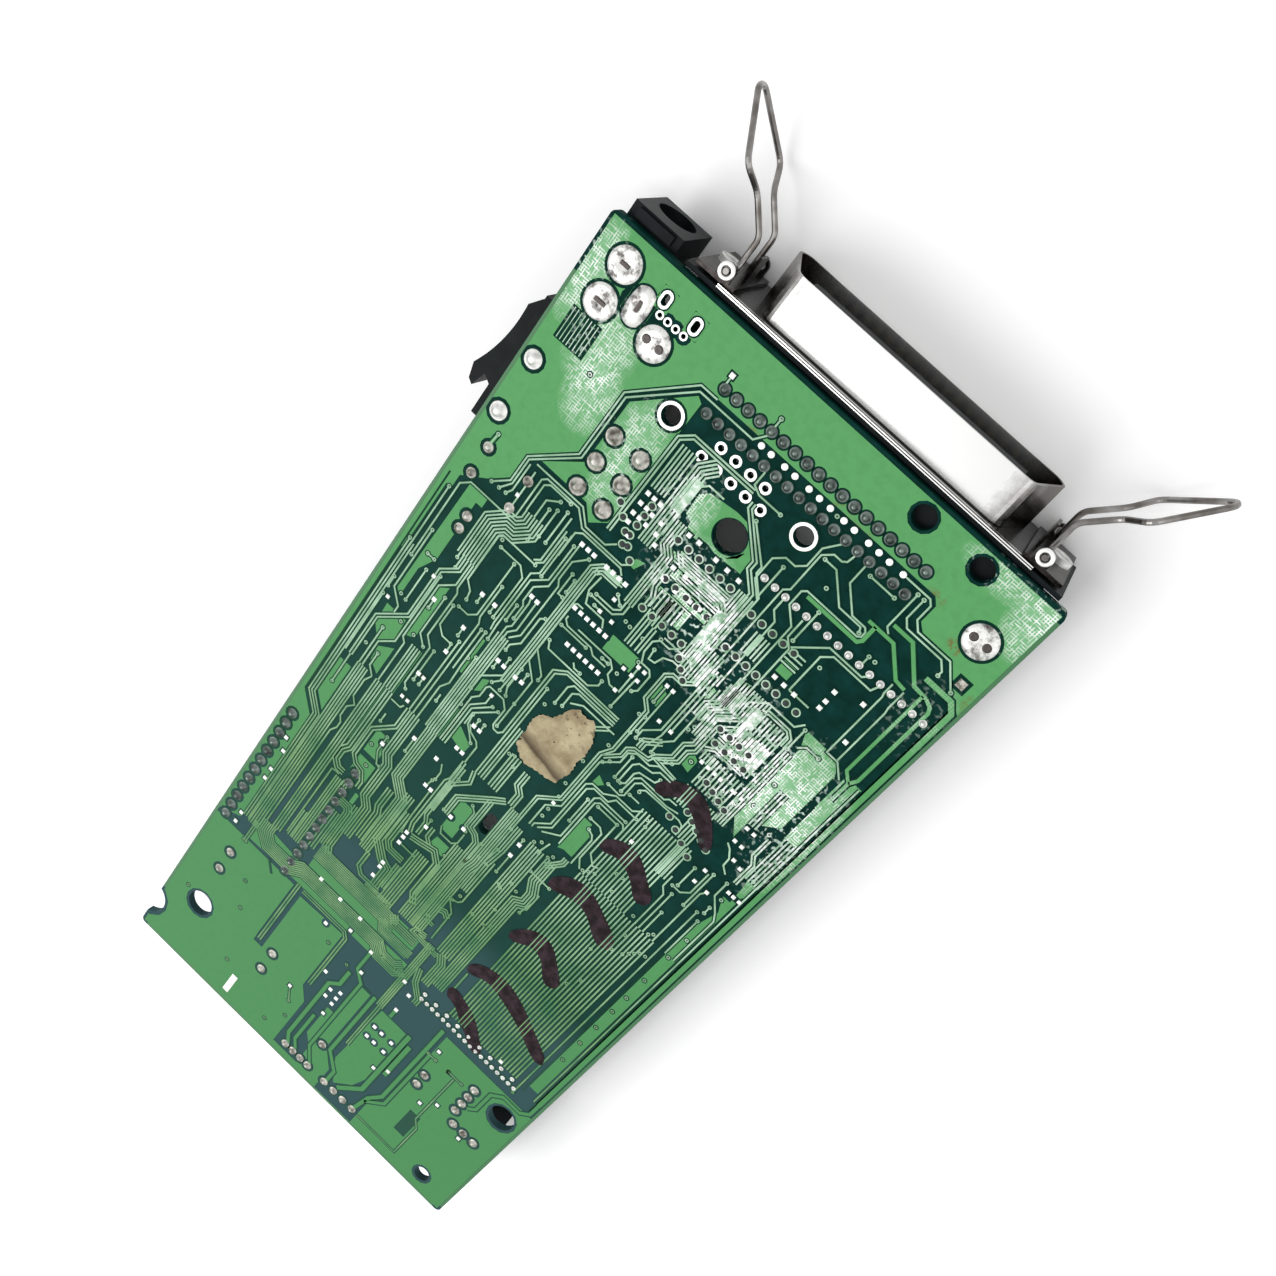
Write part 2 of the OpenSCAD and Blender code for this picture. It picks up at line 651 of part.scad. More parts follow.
// The wire lies in a sheet, s along the leg from the hinge and z across it, and
// the sheet is bent once, on an arc round the outward bend
bend_r = 2.4;
bend_s = bail_leg_l - bend_r * tan(bail_bend / 2);
bend_len = bend_r * bail_bend * PI / 180;
function bend_angle(s) = s < bend_s ? 0 : min(bail_bend, (s - bend_s) / bend_r * 180 / PI);
function plan(s) = s < bend_s ? [0, -s]
    : s < bend_s + bend_len
        ? [bend_r * (1 - cos(bend_angle(s))), -bend_s - bend_r * sin(bend_angle(s))]
        : [bend_r * (1 - cos(bail_bend)), -bend_s - bend_r * sin(bail_bend)]
            + (s - bend_s - bend_len) * [sin(bail_bend), -cos(bail_bend)];
function lift(q) = [plan(q[0])[0], plan(q[0])[1], q[1]];
function across(q) = [cos(bend_angle(q[0])), sin(bend_angle(q[0])), 0];

bail_half = concat(
    [[0, ear_out + 0.35, 0], [0, bail_leg_gap / 2, 1.0]],
    [for (k = [0:5]) [bend_s + bend_len * k / 5, bail_leg_gap / 2, 0]],
    [[bail_leg_l + 0.3 * bail_reach, bail_leg_gap / 2, 1.2],
     [bail_leg_l + 0.49 * bail_reach, bail_loop_w / 2, 1.4],
     [bail_leg_l + bail_reach, 1.3, 1.2]]);
bail_flat = rounded(concat(bail_half,
    [for (i = [len(bail_half) - 1:-1:0]) [bail_half[i][0], -bail_half[i][1], bail_half[i][2]]]), 4);

wire_sides = 10;
module bail_wire() {
    flat = bail_flat;
    n = len(flat);
    rings = [for (i = [0:n - 1])
        let (here = lift(flat[i]), before = lift(flat[max(0, i - 1)]), after = lift(flat[min(n - 1, i + 1)]),
             along = unit(after - before), side = across(flat[i]), up = cross(along, side))
        [for (k = [0:wire_sides - 1]) here
            + bail_wire_d / 2 * (side * cos(k * 360 / wire_sides) + up * sin(k * 360 / wire_sides))]];
    points = [for (ring = rings, p = ring) p];
    walls = [for (i = [0:n - 2], k = [0:wire_sides - 1])
        let (a = i * wire_sides + k, b = i * wire_sides + (k + 1) % wire_sides)
        [a, b, b + wire_sides, a + wire_sides]];
    ends = [[for (k = [wire_sides - 1:-1:0]) k], [for (k = [0:wire_sides - 1]) (n - 1) * wire_sides + k]];
    polyhedron(points, concat(walls, ends), convexity = 6);
}

module bail(s) {
    color(steel)
    on_port() scale_side(s) translate([bail_hinge_x, -bail_hinge_y, 0]) bail_wire();
}

module bail_right() { bail(1); }
module bail_left() { bail(-1); }

// ---- Power jack -----------------------------------------------------------

jack_top = board_t;
jack_mouth_depth = jack_top + 6.4;
collar_l = 3.4;
module jack_body() {
    color(black_plastic)
    at([jack_x, -jack_overhang - rim], 0) difference() {
        union() {
            translate([-jack_w / 2, 0, -jack_top - jack_h]) cube([jack_w, collar_l, jack_h]);
            translate([-jack_w / 2 + 0.5, 0, -jack_top - jack_h + 1]) cube([jack_w - 1, 14.2, jack_h - 1]);
            translate([-jack_w / 2 + 1.2, 0.4, -jack_top]) cube([jack_w - 2.4, jack_overhang - 1.0, 0.5]);
        }
        translate([0, 9.6, -jack_mouth_depth]) rotate([90, 0, 0])
            cylinder(h = 10.6, r = jack_mouth_r, $fn = 48);
        translate([-jack_w / 2 - 1, 10, -jack_top - jack_h - 1]) cube([2.6, 5, 7]);
    }
}

module jack_pin() {
    color(tin)
    at([jack_x, -jack_overhang - rim], jack_mouth_depth) translate([0, 9.6, 0]) rotate([90, 0, 0]) {
        cylinder(h = 7.4, r = jack_pin_d / 2, $fn = 32);
        translate([0, 0, 7.4]) cylinder(h = 0.8, r1 = jack_pin_d / 2, r2 = jack_pin_d / 4, $fn = 32);
    }
}

// The leaf that presses on the plug's barrel lies along the bottom of the mouth
module jack_spring() {
    color(tin)
    at([jack_x, -jack_overhang - rim], jack_mouth_depth)
        translate([-1.2, 2.6, -jack_mouth_r + 0.3]) cube([2.4, 7.0, 0.35]);
}

// The side terminal: a blade beside the jack, bent in to its body
module jack_terminals() {
    blade_t = 0.5;
    body_side = jack_places[2][0] - jack_x - (jack_w - 1) / 2;
    color(tin)
    at(jack_places[2], board_t) {
        translate([-blade_t / 2, -1, -5]) cube([blade_t, 2, 5]);
        translate([-blade_t / 2, -1, -5]) cube([body_side + blade_t / 2, 2, blade_t]);
    }
}

// ---- Power switch ---------------------------------------------------------

// The switch's own frame: u along the board's edge, v outwards, middle depth
switch_depth = board_t + bezel_h / 2 - 0.4;
pivot_in = 1.2 + rim;
module on_switch() {
    translate([board_w / 2 - pivot_in, switch_y - hole_y, -switch_depth]) children();
}

rocker_w = bezel_h - 2.8;
well_w = rocker_w + 0.6;
well_l = rocker_l + 1.8;
module switch_body() {
    out = pivot_in + bezel_out;
    color(black_plastic)
    on_switch() difference() {
        union() {
            translate([pivot_in, -bezel_l / 2, -bezel_h / 2]) cube([bezel_out, bezel_l, bezel_h]);
            translate([pivot_in - 11, -bezel_l / 2 + 0.4, -bezel_h / 2 + 0.4])
                cube([11, bezel_l - 0.8, bezel_h - 0.8]);
        }
        translate([-4.4, -well_l / 2, -well_w / 2]) cube([out + 5.4, well_l, well_w]);
        translate([0, 0, -bezel_h / 2 + 0.6]) cylinder(h = bezel_h - 1.2, r = pivot_r + 0.05, $fn = 48);
    }
}

// The rocker: a dished paddle on a wide hub, with pivot pins in the well's walls
dish = 0.85;
module switch_rocker() {
    half = rocker_l / 2;
    top = half - 2.7;
    outline = concat(
        [[-half, 4.4], [-half + 0.4, 5.4]],
        [for (i = [-8:8]) [top * i / 8, 6.5 - dish * (1 - pow(i / 8, 2))]],
        [[half - 0.4, 5.4], [half, 4.4], [half - 2.9, 4.1], [half - 2.2, 2.3], [half - 2.4, 0],
         [half - 4.2, -2.8], [4.2 - half, -2.8], [2.4 - half, 0], [2.2 - half, 2.3], [2.9 - half, 4.1]]);
    color(black_plastic)
    on_switch() rotate([0, 0, -rocker_tilt]) {
        translate([0, 0, -rocker_w / 2]) linear_extrude(rocker_w)
            polygon([for (p = outline) [p[1], p[0]]]);
        translate([0, 0, -rocker_w / 2 - 0.6]) cylinder(h = rocker_w + 1.2, r = pivot_r, $fn = 48);
    }
}

// ---- Components under the board -------------------------------------------

// An upright capacitor: a sleeved can with a rolled groove, and a scored end
module capacitor(places, d, h) {
    groove = 0.4;
    middle = (places[0] + places[1]) / 2;
    color([0.13, 0.15, 0.3])
    at(middle, board_t) rotate([180, 0, 0]) difference() {
        rotate_extrude($fn = 48) polygon([
            [0, 0], [d / 2 - 0.3, 0], [d / 2, 0.5], [d / 2, 1.6], [d / 2 - groove, 2.2], [d / 2, 2.8],
            [d / 2, h - 0.6], [d / 2 - 0.6, h], [d / 2 - 1.4, h], [d / 2 - 1.5, h - 0.25], [0, h - 0.25]]);
        for (a = [0, 60, 120]) rotate([0, 0, a])
            translate([-d / 3, -0.15, h - 0.45]) cube([d / 1.5, 0.3, 1]);
    }
}

module capacitor_corner() { capacitor(corner_cap_places, cap_d, cap_h); }
module capacitor_rear() { capacitor(rear_cap_places, cap_d, cap_h); }
module capacitor_small() { capacitor(small_cap_places, 8, 11); }

// A box with its lower edges bevelled, hung under the board, middle at p
module case_box(p, size, bevel = 0.6) {
    at(p, board_t + size[2]) {
        translate([-size[0] / 2, -size[1] / 2, bevel]) cube([size[0], size[1], size[2] - bevel]);
        translate([-size[0] / 2 + bevel, -size[1] / 2 + bevel, 0])
            cube([size[0] - 2 * bevel, size[1] - 2 * bevel, bevel]);
    }
}

module filter_choke() {
    color([0.2, 0.2, 0.21]) case_box([20.65, choke_places[1][1]], [11, 15, 10.5], 0.8);
}

socket_h = 4.4;
memory_mid = [(memory_row_x[0] + memory_row_x[1]) / 2, 102 + (memory_ways - 1) * inch_pitch / 2];
module memory_socket() {
    outer = [memory_row_x[1] - memory_row_x[0] + 2.4, memory_ways * inch_pitch + 0.4, socket_h];
    color([0.18, 0.19, 0.2])
    difference() {
        case_box(memory_mid, outer, 0.3);
        at(memory_mid, board_t + socket_h + 1)
            translate([-outer[0] / 2 + 4.2, -outer[1] / 2 + 3, 0]) cube([outer[0] - 8.4, outer[1] - 6, socket_h + 2]);
    }
}

module memory_chip() {
    size = [13.6, memory_ways * inch_pitch + 0.3, 3.8];
    color([0.1, 0.1, 0.11])
    at(memory_mid, board_t + socket_h + size[2]) difference() {
        translate([-size[0] / 2, -size[1] / 2, 0]) cube(size);
        translate([0, -size[1] / 2, -0.1]) cylinder(h = 0.7, r = 1.2, $fn = 32);
    }
}

// A single-row header: a black strip and square pins through it
strip_h = 2.5;
module option_header() {
    l = header_ways * metric_pitch;
    color(black_plastic)
    difference() {
        at([header_places[0][0] + (l - metric_pitch) / 2, 24.2], board_t + strip_h)
            translate([-l / 2, -metric_pitch / 2, 0]) cube([l, metric_pitch, strip_h]);
        at_each(header_places, board_t + strip_h + 1) translate([-0.3, -0.3, 0]) cube([0.6, 0.6, strip_h + 2]);
    }
}

module option_pins() {
    color(tin)
    at_each(header_places, board_t + 8.6) translate([-0.25, -0.25, 0]) cube([0.5, 0.5, 8.6]);
}

// A wire or film socket: a shrouded box, open on its lower face
module open_socket(p, size, wall, floor_t) {
    at(p, board_t + size[2]) difference() {
        translate([-size[0] / 2, -size[1] / 2, 0]) cube(size);
        translate([-size[0] / 2 + wall, -size[1] / 2 + wall, -1])
            cube([size[0] - 2 * wall, size[1] - 2 * wall, size[2] - floor_t + 1]);
    }
}

module head_socket() {
    l = (head_ways - 1) * head_pitch;
    color([0.85, 0.83, 0.76])
        open_socket(head_start + [l / 2, -0.7], [l + 6, 5.6, 7], 2.1, 2.4);
}

module sensor_socket() {
    color([0.9, 0.88, 0.82])
        open_socket([sensor_places[0][0] + 1.5 * metric_pitch, 163], [9.8, 4.6, 6], 0.6, 1.4);
}

module motor_socket() {
    color([0.9, 0.88, 0.82])
        open_socket([motor_places[0][0] + 3.75, 163], [12.4, 5.6, 7], 0.7, 1.6);
}

// A flat package: a low body on gull-wing legs, n along each leaded side
module package(p, size, n, pitch, sides = 4) {
    lift = 0.4;
    leg = 1.4;
    foot = 0.35;
    at(p, board_t) rotate([180, 0, 0]) {
        color([0.1, 0.1, 0.11])
            translate([-size[0] / 2, -size[1] / 2, lift]) cube(size);
        color(tin)
        for (q = [0:sides - 1]) rotate([0, 0, q * 360 / sides]) {
            half = (q % 2 == 0 || sides == 2 ? size[1] : size[0]) / 2;
            for (i = [0:n - 1]) translate([(i - (n - 1) / 2) * pitch - foot / 2, half - 0.1, 0])
                cube([foot, leg, size[2] / 2 + lift]);
        }
    }
}

module processor() { package([57, 56], [processor_w, processor_w, 3.2], 18, 1.2); }

bus_chip_places = [[31.5, 51], [31.5, 70], [31.5, 84]];
module bus_chips() {
    for (p = bus_chip_places) package(p, [13, 7.6, 2.4], 10, 1.27, 2);
}

module driver_chip() { package([50.2, 144.1], [16, 9, 2.6], 12, 1.27, 2); }

// A crystal's can, round-ended, on its flange
module crystal() {
    color(steel)
    at([47, 78], board_t) rotate([180, 0, 0]) {
        linear_extrude(0.5) slot_2d([4.6, 11.2]);
        linear_extrude(3.4) slot_2d([3.9, 10.4]);
    }
}

// A regulator standing on its three legs, its metal tab towards the rear
module regulator() {
    stand = 2.2;
    leg = 0.7;
    middle = regulator_places[1];
    color(tin)
        at_each(regulator_places, board_t + stand) translate([-leg / 2, -leg / 2, 0]) cube([leg, leg, stand]);
    color(black_plastic)
        at(middle, board_t + stand + 8.8) translate([-5, -1.8, 0]) cube([10, 3.2, 8.8]);
    color(steel)
        at(middle, board_t + stand + 12.6) difference() {
            translate([-5, 1.4, 0]) cube([10, 1.2, 12.4]);
            translate([0, 3.5, 2.4]) rotate([90, 0, 0]) cylinder(h = 3, r = 1.8, $fn = 32);
        }
}

module fuse() {
    color([0.55, 0.5, 0.3]) case_box((fuse_places[0] + fuse_places[1]) / 2, [4.2, 7.6, 7.5], 0.5);
}

module input_diode() {
    middle = (diode_places[0] + diode_places[1]) / 2;
    span = diode_places[1][1] - diode_places[0][1];
    drop = board_t + 2.1;
    wire = 0.8;
    color(black_plastic)
        at(middle, drop) translate([0, 2.1, 0]) rotate([90, 0, 0]) cylinder(h = 4.2, r = 1.7, $fn = 48);
    color(tin)
        for (s = [-1, 1]) at(middle) translate([-wire / 2, 0, 0]) {
            translate([0, s > 0 ? 1.9 : -span / 2 - wire / 2, -drop - wire / 2]) cube([wire, span / 2 + wire / 2 - 1.9, wire]);
            translate([0, s * span / 2 - wire / 2, -drop]) cube([wire, wire, drop - board_t]);
        }
}

// A torn scrap of brown paper stuck on the tracks
module paper_scrap() {
    color([0.75, 0.63, 0.43])
    at([39.3, 68.6], -copper_t) linear_extrude(0.7) polygon([
        [4.3, 6.6], [4.8, 1], [4.2, -4.5], [2, -7.6], [-1.6, -8], [-2.6, -4.6], [-5.6, -2.4],
        [-5.9, 2.2], [-4.6, 4.6], [-6, 5.6], [-3.8, 6.2], [-2, 7.6], [2.2, 7.4]]);
}

board();
ground_copper();
track_copper();
empty_hole_lands();
test_lands();
jack_joints();
port_joints();
switch_joints();
choke_joints();
memory_joints();
header_joints();
head_socket_joints();
rear_joints();
port_insulator();
port_shell();
port_contacts();
port_tails();
bail_bracket_right();
bail_bracket_left();
bail_screw_right();
bail_screw_left();
bail_right();
bail_left();
jack_body();
jack_pin();
jack_spring();
jack_terminals();
switch_body();
switch_rocker();
capacitor_corner();
capacitor_rear();
capacitor_small();
filter_choke();
memory_socket();
memory_chip();
option_header();
option_pins();
head_socket();
sensor_socket();
motor_socket();
processor();
bus_chips();
driver_chip();
crystal();
regulator();
fuse();
input_diode();
paper_scrap();
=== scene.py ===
# %% [markdown]
# # A printer's main board
# The board comes from the packed frame, and every piece that is added here rides on
# it. Surfaces are numpy arrays of points, and finishes are expressions on sockets.

import math

import bpy
import numpy as np
from mathutils import Matrix, Vector


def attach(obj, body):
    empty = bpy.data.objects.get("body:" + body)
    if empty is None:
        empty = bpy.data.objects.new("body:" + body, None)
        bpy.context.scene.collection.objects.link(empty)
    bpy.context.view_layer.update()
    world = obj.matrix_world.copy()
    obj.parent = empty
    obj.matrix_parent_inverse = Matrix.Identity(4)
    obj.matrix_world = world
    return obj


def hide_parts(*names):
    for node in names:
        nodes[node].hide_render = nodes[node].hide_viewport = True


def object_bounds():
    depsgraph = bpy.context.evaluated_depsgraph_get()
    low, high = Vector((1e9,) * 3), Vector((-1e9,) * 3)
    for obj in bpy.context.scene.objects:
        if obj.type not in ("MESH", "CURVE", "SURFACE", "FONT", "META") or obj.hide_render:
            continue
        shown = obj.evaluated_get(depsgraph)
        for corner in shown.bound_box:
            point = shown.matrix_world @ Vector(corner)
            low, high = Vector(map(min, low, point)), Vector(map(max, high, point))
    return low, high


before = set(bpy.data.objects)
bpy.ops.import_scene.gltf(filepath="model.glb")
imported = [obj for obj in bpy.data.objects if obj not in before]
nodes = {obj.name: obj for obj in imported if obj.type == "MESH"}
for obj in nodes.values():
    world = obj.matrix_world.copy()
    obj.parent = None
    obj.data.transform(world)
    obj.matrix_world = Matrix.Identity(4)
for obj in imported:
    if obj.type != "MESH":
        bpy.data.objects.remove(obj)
cad_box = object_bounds()
print(len(nodes), "nodes in the frame")

# %% [markdown]
# ## Places
# A board is drilled from its corner, so places are drilling coordinates in
# millimetres: x from the copper's jack-side edge and y from its connector-side edge.
# The frame's own metres would do too, but nobody reads a board that way. One
# function turns the one into the other.

# %% Drilling coordinates
MM = 0.001
FIELD_W, FIELD_L, HOLE_Y = 80.0, 166.0, 23.2


def drilled(points, depth=0.0):
    """Frame points of drilling coordinates: (W/2 - x, y - hole_y, -depth), in metres."""
    p = np.asarray(points, float).reshape(-1, 2)
    z = np.broadcast_to(-np.asarray(depth, float), p[:, 0].shape)
    return MM * np.column_stack([FIELD_W / 2 - p[:, 0], p[:, 1] - HOLE_Y, z])


print("far corner of the copper at", drilled((FIELD_W, FIELD_L))[0].round(4), "m")

# %% [markdown]
# ## Meshes from arrays
# A mesh is an array of points and an array of polygons. It could be built face by
# face with bmesh, but a board has tens of thousands of small faces, and whole arrays
# go in at once. `sheet_faces` numbers the quads of a grid, and `solid` makes the
# object, lets it ride and gives it its finish.

# %% Mesh helpers
def sheet_faces(rows, cols, wrap=False):
    """Quads of a rows x cols grid of points, closed across its columns if wrap."""
    r, c = np.meshgrid(np.arange(rows - 1), np.arange(cols if wrap else cols - 1), indexing="ij")
    r, c = r.ravel(), c.ravel()
    d = (c + 1) % cols
    return np.column_stack([r * cols + c, r * cols + d, (r + 1) * cols + d, (r + 1) * cols + c])


def joined(parts):
    """Points of all parts in one array, and each part's faces moved on by the points before it."""
    points, faces, start = [], [], 0
    for p, f in parts:
        points.append(p)
        faces.append(np.asarray(f) + start)
        start += len(p)
    return np.concatenate(points), faces


def solid(name, parts, finish, smooth=False):
    """An object of (points, faces) parts that rides on the board's body."""
    points, faces = joined(parts)
    corners = np.concatenate([f.ravel() for f in faces])
    widths = np.concatenate([np.full(len(f), f.shape[1]) for f in faces])
    starts = np.cumsum(widths) - widths
    mesh = bpy.data.meshes.new(name)
    mesh.vertices.add(len(points))
    mesh.vertices.foreach_set("co", points.astype(np.float32).ravel())
    mesh.loops.add(len(corners))
    mesh.loops.foreach_set("vertex_index", corners.astype(np.int32))
    mesh.polygons.add(len(widths))
    mesh.polygons.foreach_set("loop_start", starts.astype(np.int32))
    mesh.polygons.foreach_set("use_smooth", np.full(len(widths), smooth))
    mesh.update(calc_edges=True)
    mesh.validate()
    mesh.materials.append(finish.material)
    piece = bpy.data.objects.new(name, mesh)
    bpy.context.scene.collection.objects.link(piece)
    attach(piece, "main")
    print(f"{name}: {len(points)} points, {len(widths)} faces")
    return piece


# %% [markdown]
# ## Finishes from expressions
# Nodes can be dropped and wired one by one, but a finish is easier to read as a sum.
# `Socket` wraps a node's output, so that maths on it is written as maths.

# %% Shader expressions
def linear(r, g, b):
    """Linear colour of an sRGB colour in 0 to 255: ((v + 0.055) / 1.055) ** 2.4."""
    v = np.array([r, g, b]) / 255
    v = np.where(v <= 0.04045, v / 12.92, ((v + 0.055) / 1.055) ** 2.4)
    return (*map(float, v), 1.0)


class Socket:
    """A node's output. An operation on it adds a Math node and gives that node's output."""

    def __init__(self, graph, output):
        self.graph, self.output = graph, output

    def _math(self, operation, *values):
        return self.graph.node("ShaderNodeMath", {"operation": operation}, dict(enumerate(values)))

    def __add__(self, other):
        return self._math("ADD", self, other)

    def __sub__(self, other):
        return self._math("SUBTRACT", self, other)

    def __rsub__(self, other):
        return self._math("SUBTRACT", other, self)

    def __mul__(self, other):
        return self._math("MULTIPLY", self, other)

    def __truediv__(self, other):
        return self._math("DIVIDE", self, other)

    def __pow__(self, other):
        return self._math("POWER", self, other)

    __radd__, __rmul__ = __add__, __mul__

    def sin(self):
        return self._math("SINE", self)

    def absolute(self):
        return self._math("ABSOLUTE", self)

    def clamped(self):
        return self.graph.node("ShaderNodeClamp", {}, {0: self})

    def ramp(self, low, high):
        """0 below low, 1 above high and straight between: (v - low) / (high - low)."""
        return self.graph.node("ShaderNodeMapRange", {}, {0: self, 1: low, 2: high})


print("white is", linear(255, 255, 255))

# %% [markdown]
# ## Graphs
# Every other node goes through one method, which takes its type, its settings and the
# values of its sockets. Materials and the sky both use it.

# %% Graphs
class Graph:
    """The node tree of a material or of the world."""

    def __init__(self, tree):
        self.tree = tree

    def feed(self, node, inputs):
        """Put a number, a colour or a link on each named socket of a node."""
        for key, value in inputs.items():
            if isinstance(value, Socket):
                self.tree.links.new(value.output, node.inputs[key])
            else:
                node.inputs[key].default_value = value

    def node(self, kind, settings, inputs, output=0):
        made = self.tree.nodes.new(kind)
        for key, value in settings.items():
            setattr(made, key, value)
        self.feed(made, inputs)
        return Socket(self, made.outputs[output])

    def seen_clear(self):
        """1 where a ray comes straight from the eye, from a shine or through glass, else 0."""
        rays = [self.node("ShaderNodeLightPath", {}, {}, f"Is {kind} Ray")
                for kind in ("Camera", "Glossy", "Transmission")]
        return (rays[0] + rays[1] + rays[2]).clamped()


print("Graph has", [name for name in vars(Graph) if name[0] != "_"])

# %% [markdown]
# ## Finishes
# A `Finish` is the graph of one material. Its numbers, colours and patterns go straight
# on the shader's sockets, so that a finish reads as a list of its traits.

# %% Finishes
class Finish(Graph):
    """A Principled material, with its patterns on Object coordinates."""

    def __init__(self, name, **values):
        self.material = bpy.data.materials.new(name)
        self.material.use_nodes = True
        super().__init__(self.material.node_tree)
        self.set(**values)

    def set(self, **values):
        """Base_Color=tone puts tone on the shader's Base Color, and so on."""
        self.feed(self.tree.nodes["Principled BSDF"], {k.replace("_", " "): v for k, v in values.items()})
        return self

    def place(self):
        return self.node("ShaderNodeTexCoord", {}, {}, "Object")

    def mm(self, axis):
        """The place along an axis of the frame, in millimetres: 1000 * metres."""
        return self.node("ShaderNodeSeparateXYZ", {}, {0: self.place()}, axis) * 1000

    def noise(self, size_mm, detail=3.0, rough=0.55, stretch=None):
        """Cloudy noise with lumps of about size_mm, drawn out by a stretch of the place."""
        where = self.place()
        if stretch:
            where = self.node("ShaderNodeMapping", {}, {"Vector": where, "Scale": stretch})
        return self.node("ShaderNodeTexNoise", {}, {
            "Vector": where, "Scale": 1000 / size_mm, "Detail": detail, "Roughness": rough})

    def mix(self, factor, a, b):
        """a + (b - a) * factor, on colours."""
        return self.node("ShaderNodeMix", {"data_type": "RGBA"}, {"Factor": factor, 6: a, 7: b}, 2)

    def bump(self, height, depth_mm, strength):
        return self.set(Normal=self.node("ShaderNodeBump", {}, {
            "Height": height, "Distance": depth_mm * MM, "Strength": strength}))


def plain(name, tone, **values):
    """A finish of one colour."""
    return Finish(name, Base_Color=linear(*tone), **values)


def mottled(name, cloud, edges, first, second, **values):
    """Two tones that blend in clouds: first + (second - first) * ramp(noise)."""
    finish = Finish(name, **values)
    share = finish.noise(*cloud).ramp(*edges)
    return finish.set(Base_Color=finish.mix(share, linear(*first), linear(*second)))


print(len(bpy.data.materials), "materials come with the frame")

# %% [markdown]
# ## Glare on glass cloth
# The laminate is woven glass in resin. Where the lamp stands in the surface's shine,
# single threads glitter and the green looks pale. A true gloss would need the very
# lamp of one moment, so the glare is a pattern: a weave of broken threads, shown
# inside soft ellipses that lie where the board shines.

# %% Weave and soft patches
def weave(finish, pitch_mm=0.42):
    """Broken threads both ways: a sine across a thread, cut by noise drawn out along it."""
    turn = 2 * math.pi / pitch_mm
    warp = (finish.mm("Y") * turn).sin().ramp(-0.1, 0.7)
    weft = (finish.mm("X") * turn).sin().ramp(-0.1, 0.7)
    warp = warp * finish.noise(1.3, 1, stretch=(1, 2.4, 1)).ramp(0.44, 0.54)
    weft = weft * finish.noise(1.3, 1, stretch=(2.4, 1, 1)).ramp(0.44, 0.54)
    return (warp + weft).clamped()


def patches(finish, spots):
    """Sum of strength * (1 - (dx / half_w)^2 - (dy / half_l)^2), each term no less than 0."""
    total = 0.0
    for x, y, half_w, half_l, strength in spots:
        across = (finish.mm("X") - (FIELD_W / 2 - x)) / half_w
        along = (finish.mm("Y") - (y - HOLE_Y)) / half_l
        total = (1 - (across**2 + along**2)).clamped() * strength + total
    return total


# Ellipses: x, y, half-width, half-length and strength
GLARE = [
    (1.5, 8, 3.5, 9, 1.0), (9, 15, 6, 8, 0.8), (12, 22, 5, 6, 0.7), (21, 22, 4.5, 8, 0.7),
    (22, 30, 4, 5, 0.6), (32, 24, 5, 8, 0.8), (40, 33, 9, 8, 1.0), (48, 38, 8, 9, 1.0),
    (58, 44, 9, 9, 1.0), (65, 50, 7, 10, 0.9), (70, 47, 6, 12, 0.9), (76, 52, 5, 15, 0.9),
    (76, 24, 5, 8, 0.3), (79, 3, 5, 7, 0.9), (71, 1.6, 7, 2.8, 0.6),
]
FLUX = [
    (49.5, 9.6, 2.4, 1.6, 0.8), (53.4, 10.2, 2.2, 1.5, 1.0), (66.5, 9.6, 2.0, 1.4, 0.9),
    (73.2, 12.6, 1.8, 1.6, 1.2), (33, 9.8, 2, 1, 0.6), (8.6, 8.6, 1.6, 1.2, 0.8),
    (79.6, 18, 0.8, 2, 0.8),
]
print(len(GLARE), "places of glare and", len(FLUX), "of flux")

# %% [markdown]
# ## Bare laminate
# Resin over cloth looks nearly black green. Towards the rear it is painted paler and
# hazier, as a painted reflection of the sky. The floor of an etched gap is the same
# resin under lacquer, so one function makes both with other tones.

# %% Laminate
DEEP_GREEN = linear(3, 41, 34)


def dark_base(name, light_tone, sky_sheen, rear_sky_sheen):
    """Tones along the board, paler to the rear as painted sky reflection, then painted glints: noise above a
    level, times the glare.
    """
    finish = Finish(name, Roughness=0.6, Specular_IOR_Level=0.04)
    base = finish.mix(finish.noise(2.5, 4).ramp(0.35, 0.7), DEEP_GREEN, light_tone)
    # Painted sky reflection: the resin turns paler and hazier towards the rear.
    sky_sheen_share = (finish.mm("Y") + finish.mm("X") * 0.6).ramp(20.0, 115.0)
    base = finish.mix(sky_sheen_share, base, sky_sheen)
    # Painted sky reflection, stronger still at the rear.
    base = finish.mix(finish.mm("Y").ramp(84.0, 92.0), base, rear_sky_sheen)
    glints = (patches(finish, GLARE) * finish.noise(0.9, 1).ramp(0.56, 0.66) * 0.6).clamped()
    return finish.set(Base_Color=finish.mix(glints, base, linear(227, 252, 236)))


laminate = dark_base("laminate", linear(10, 54, 50), linear(36, 74, 65), linear(52, 80, 83))
gap_floor = dark_base("gap_floor", linear(10, 54, 41), linear(39, 76, 56), linear(45, 80, 67))
print(len(laminate.tree.nodes), "nodes in the laminate")

# %% [markdown]
# ## Green lacquer
# Copper under green lacquer looks pale green. It is smeared with flux round the
# port's joints and glitters in the glare. The lacquer's colour is mixed from the
# bottom up, in the order in which the real layers lie.

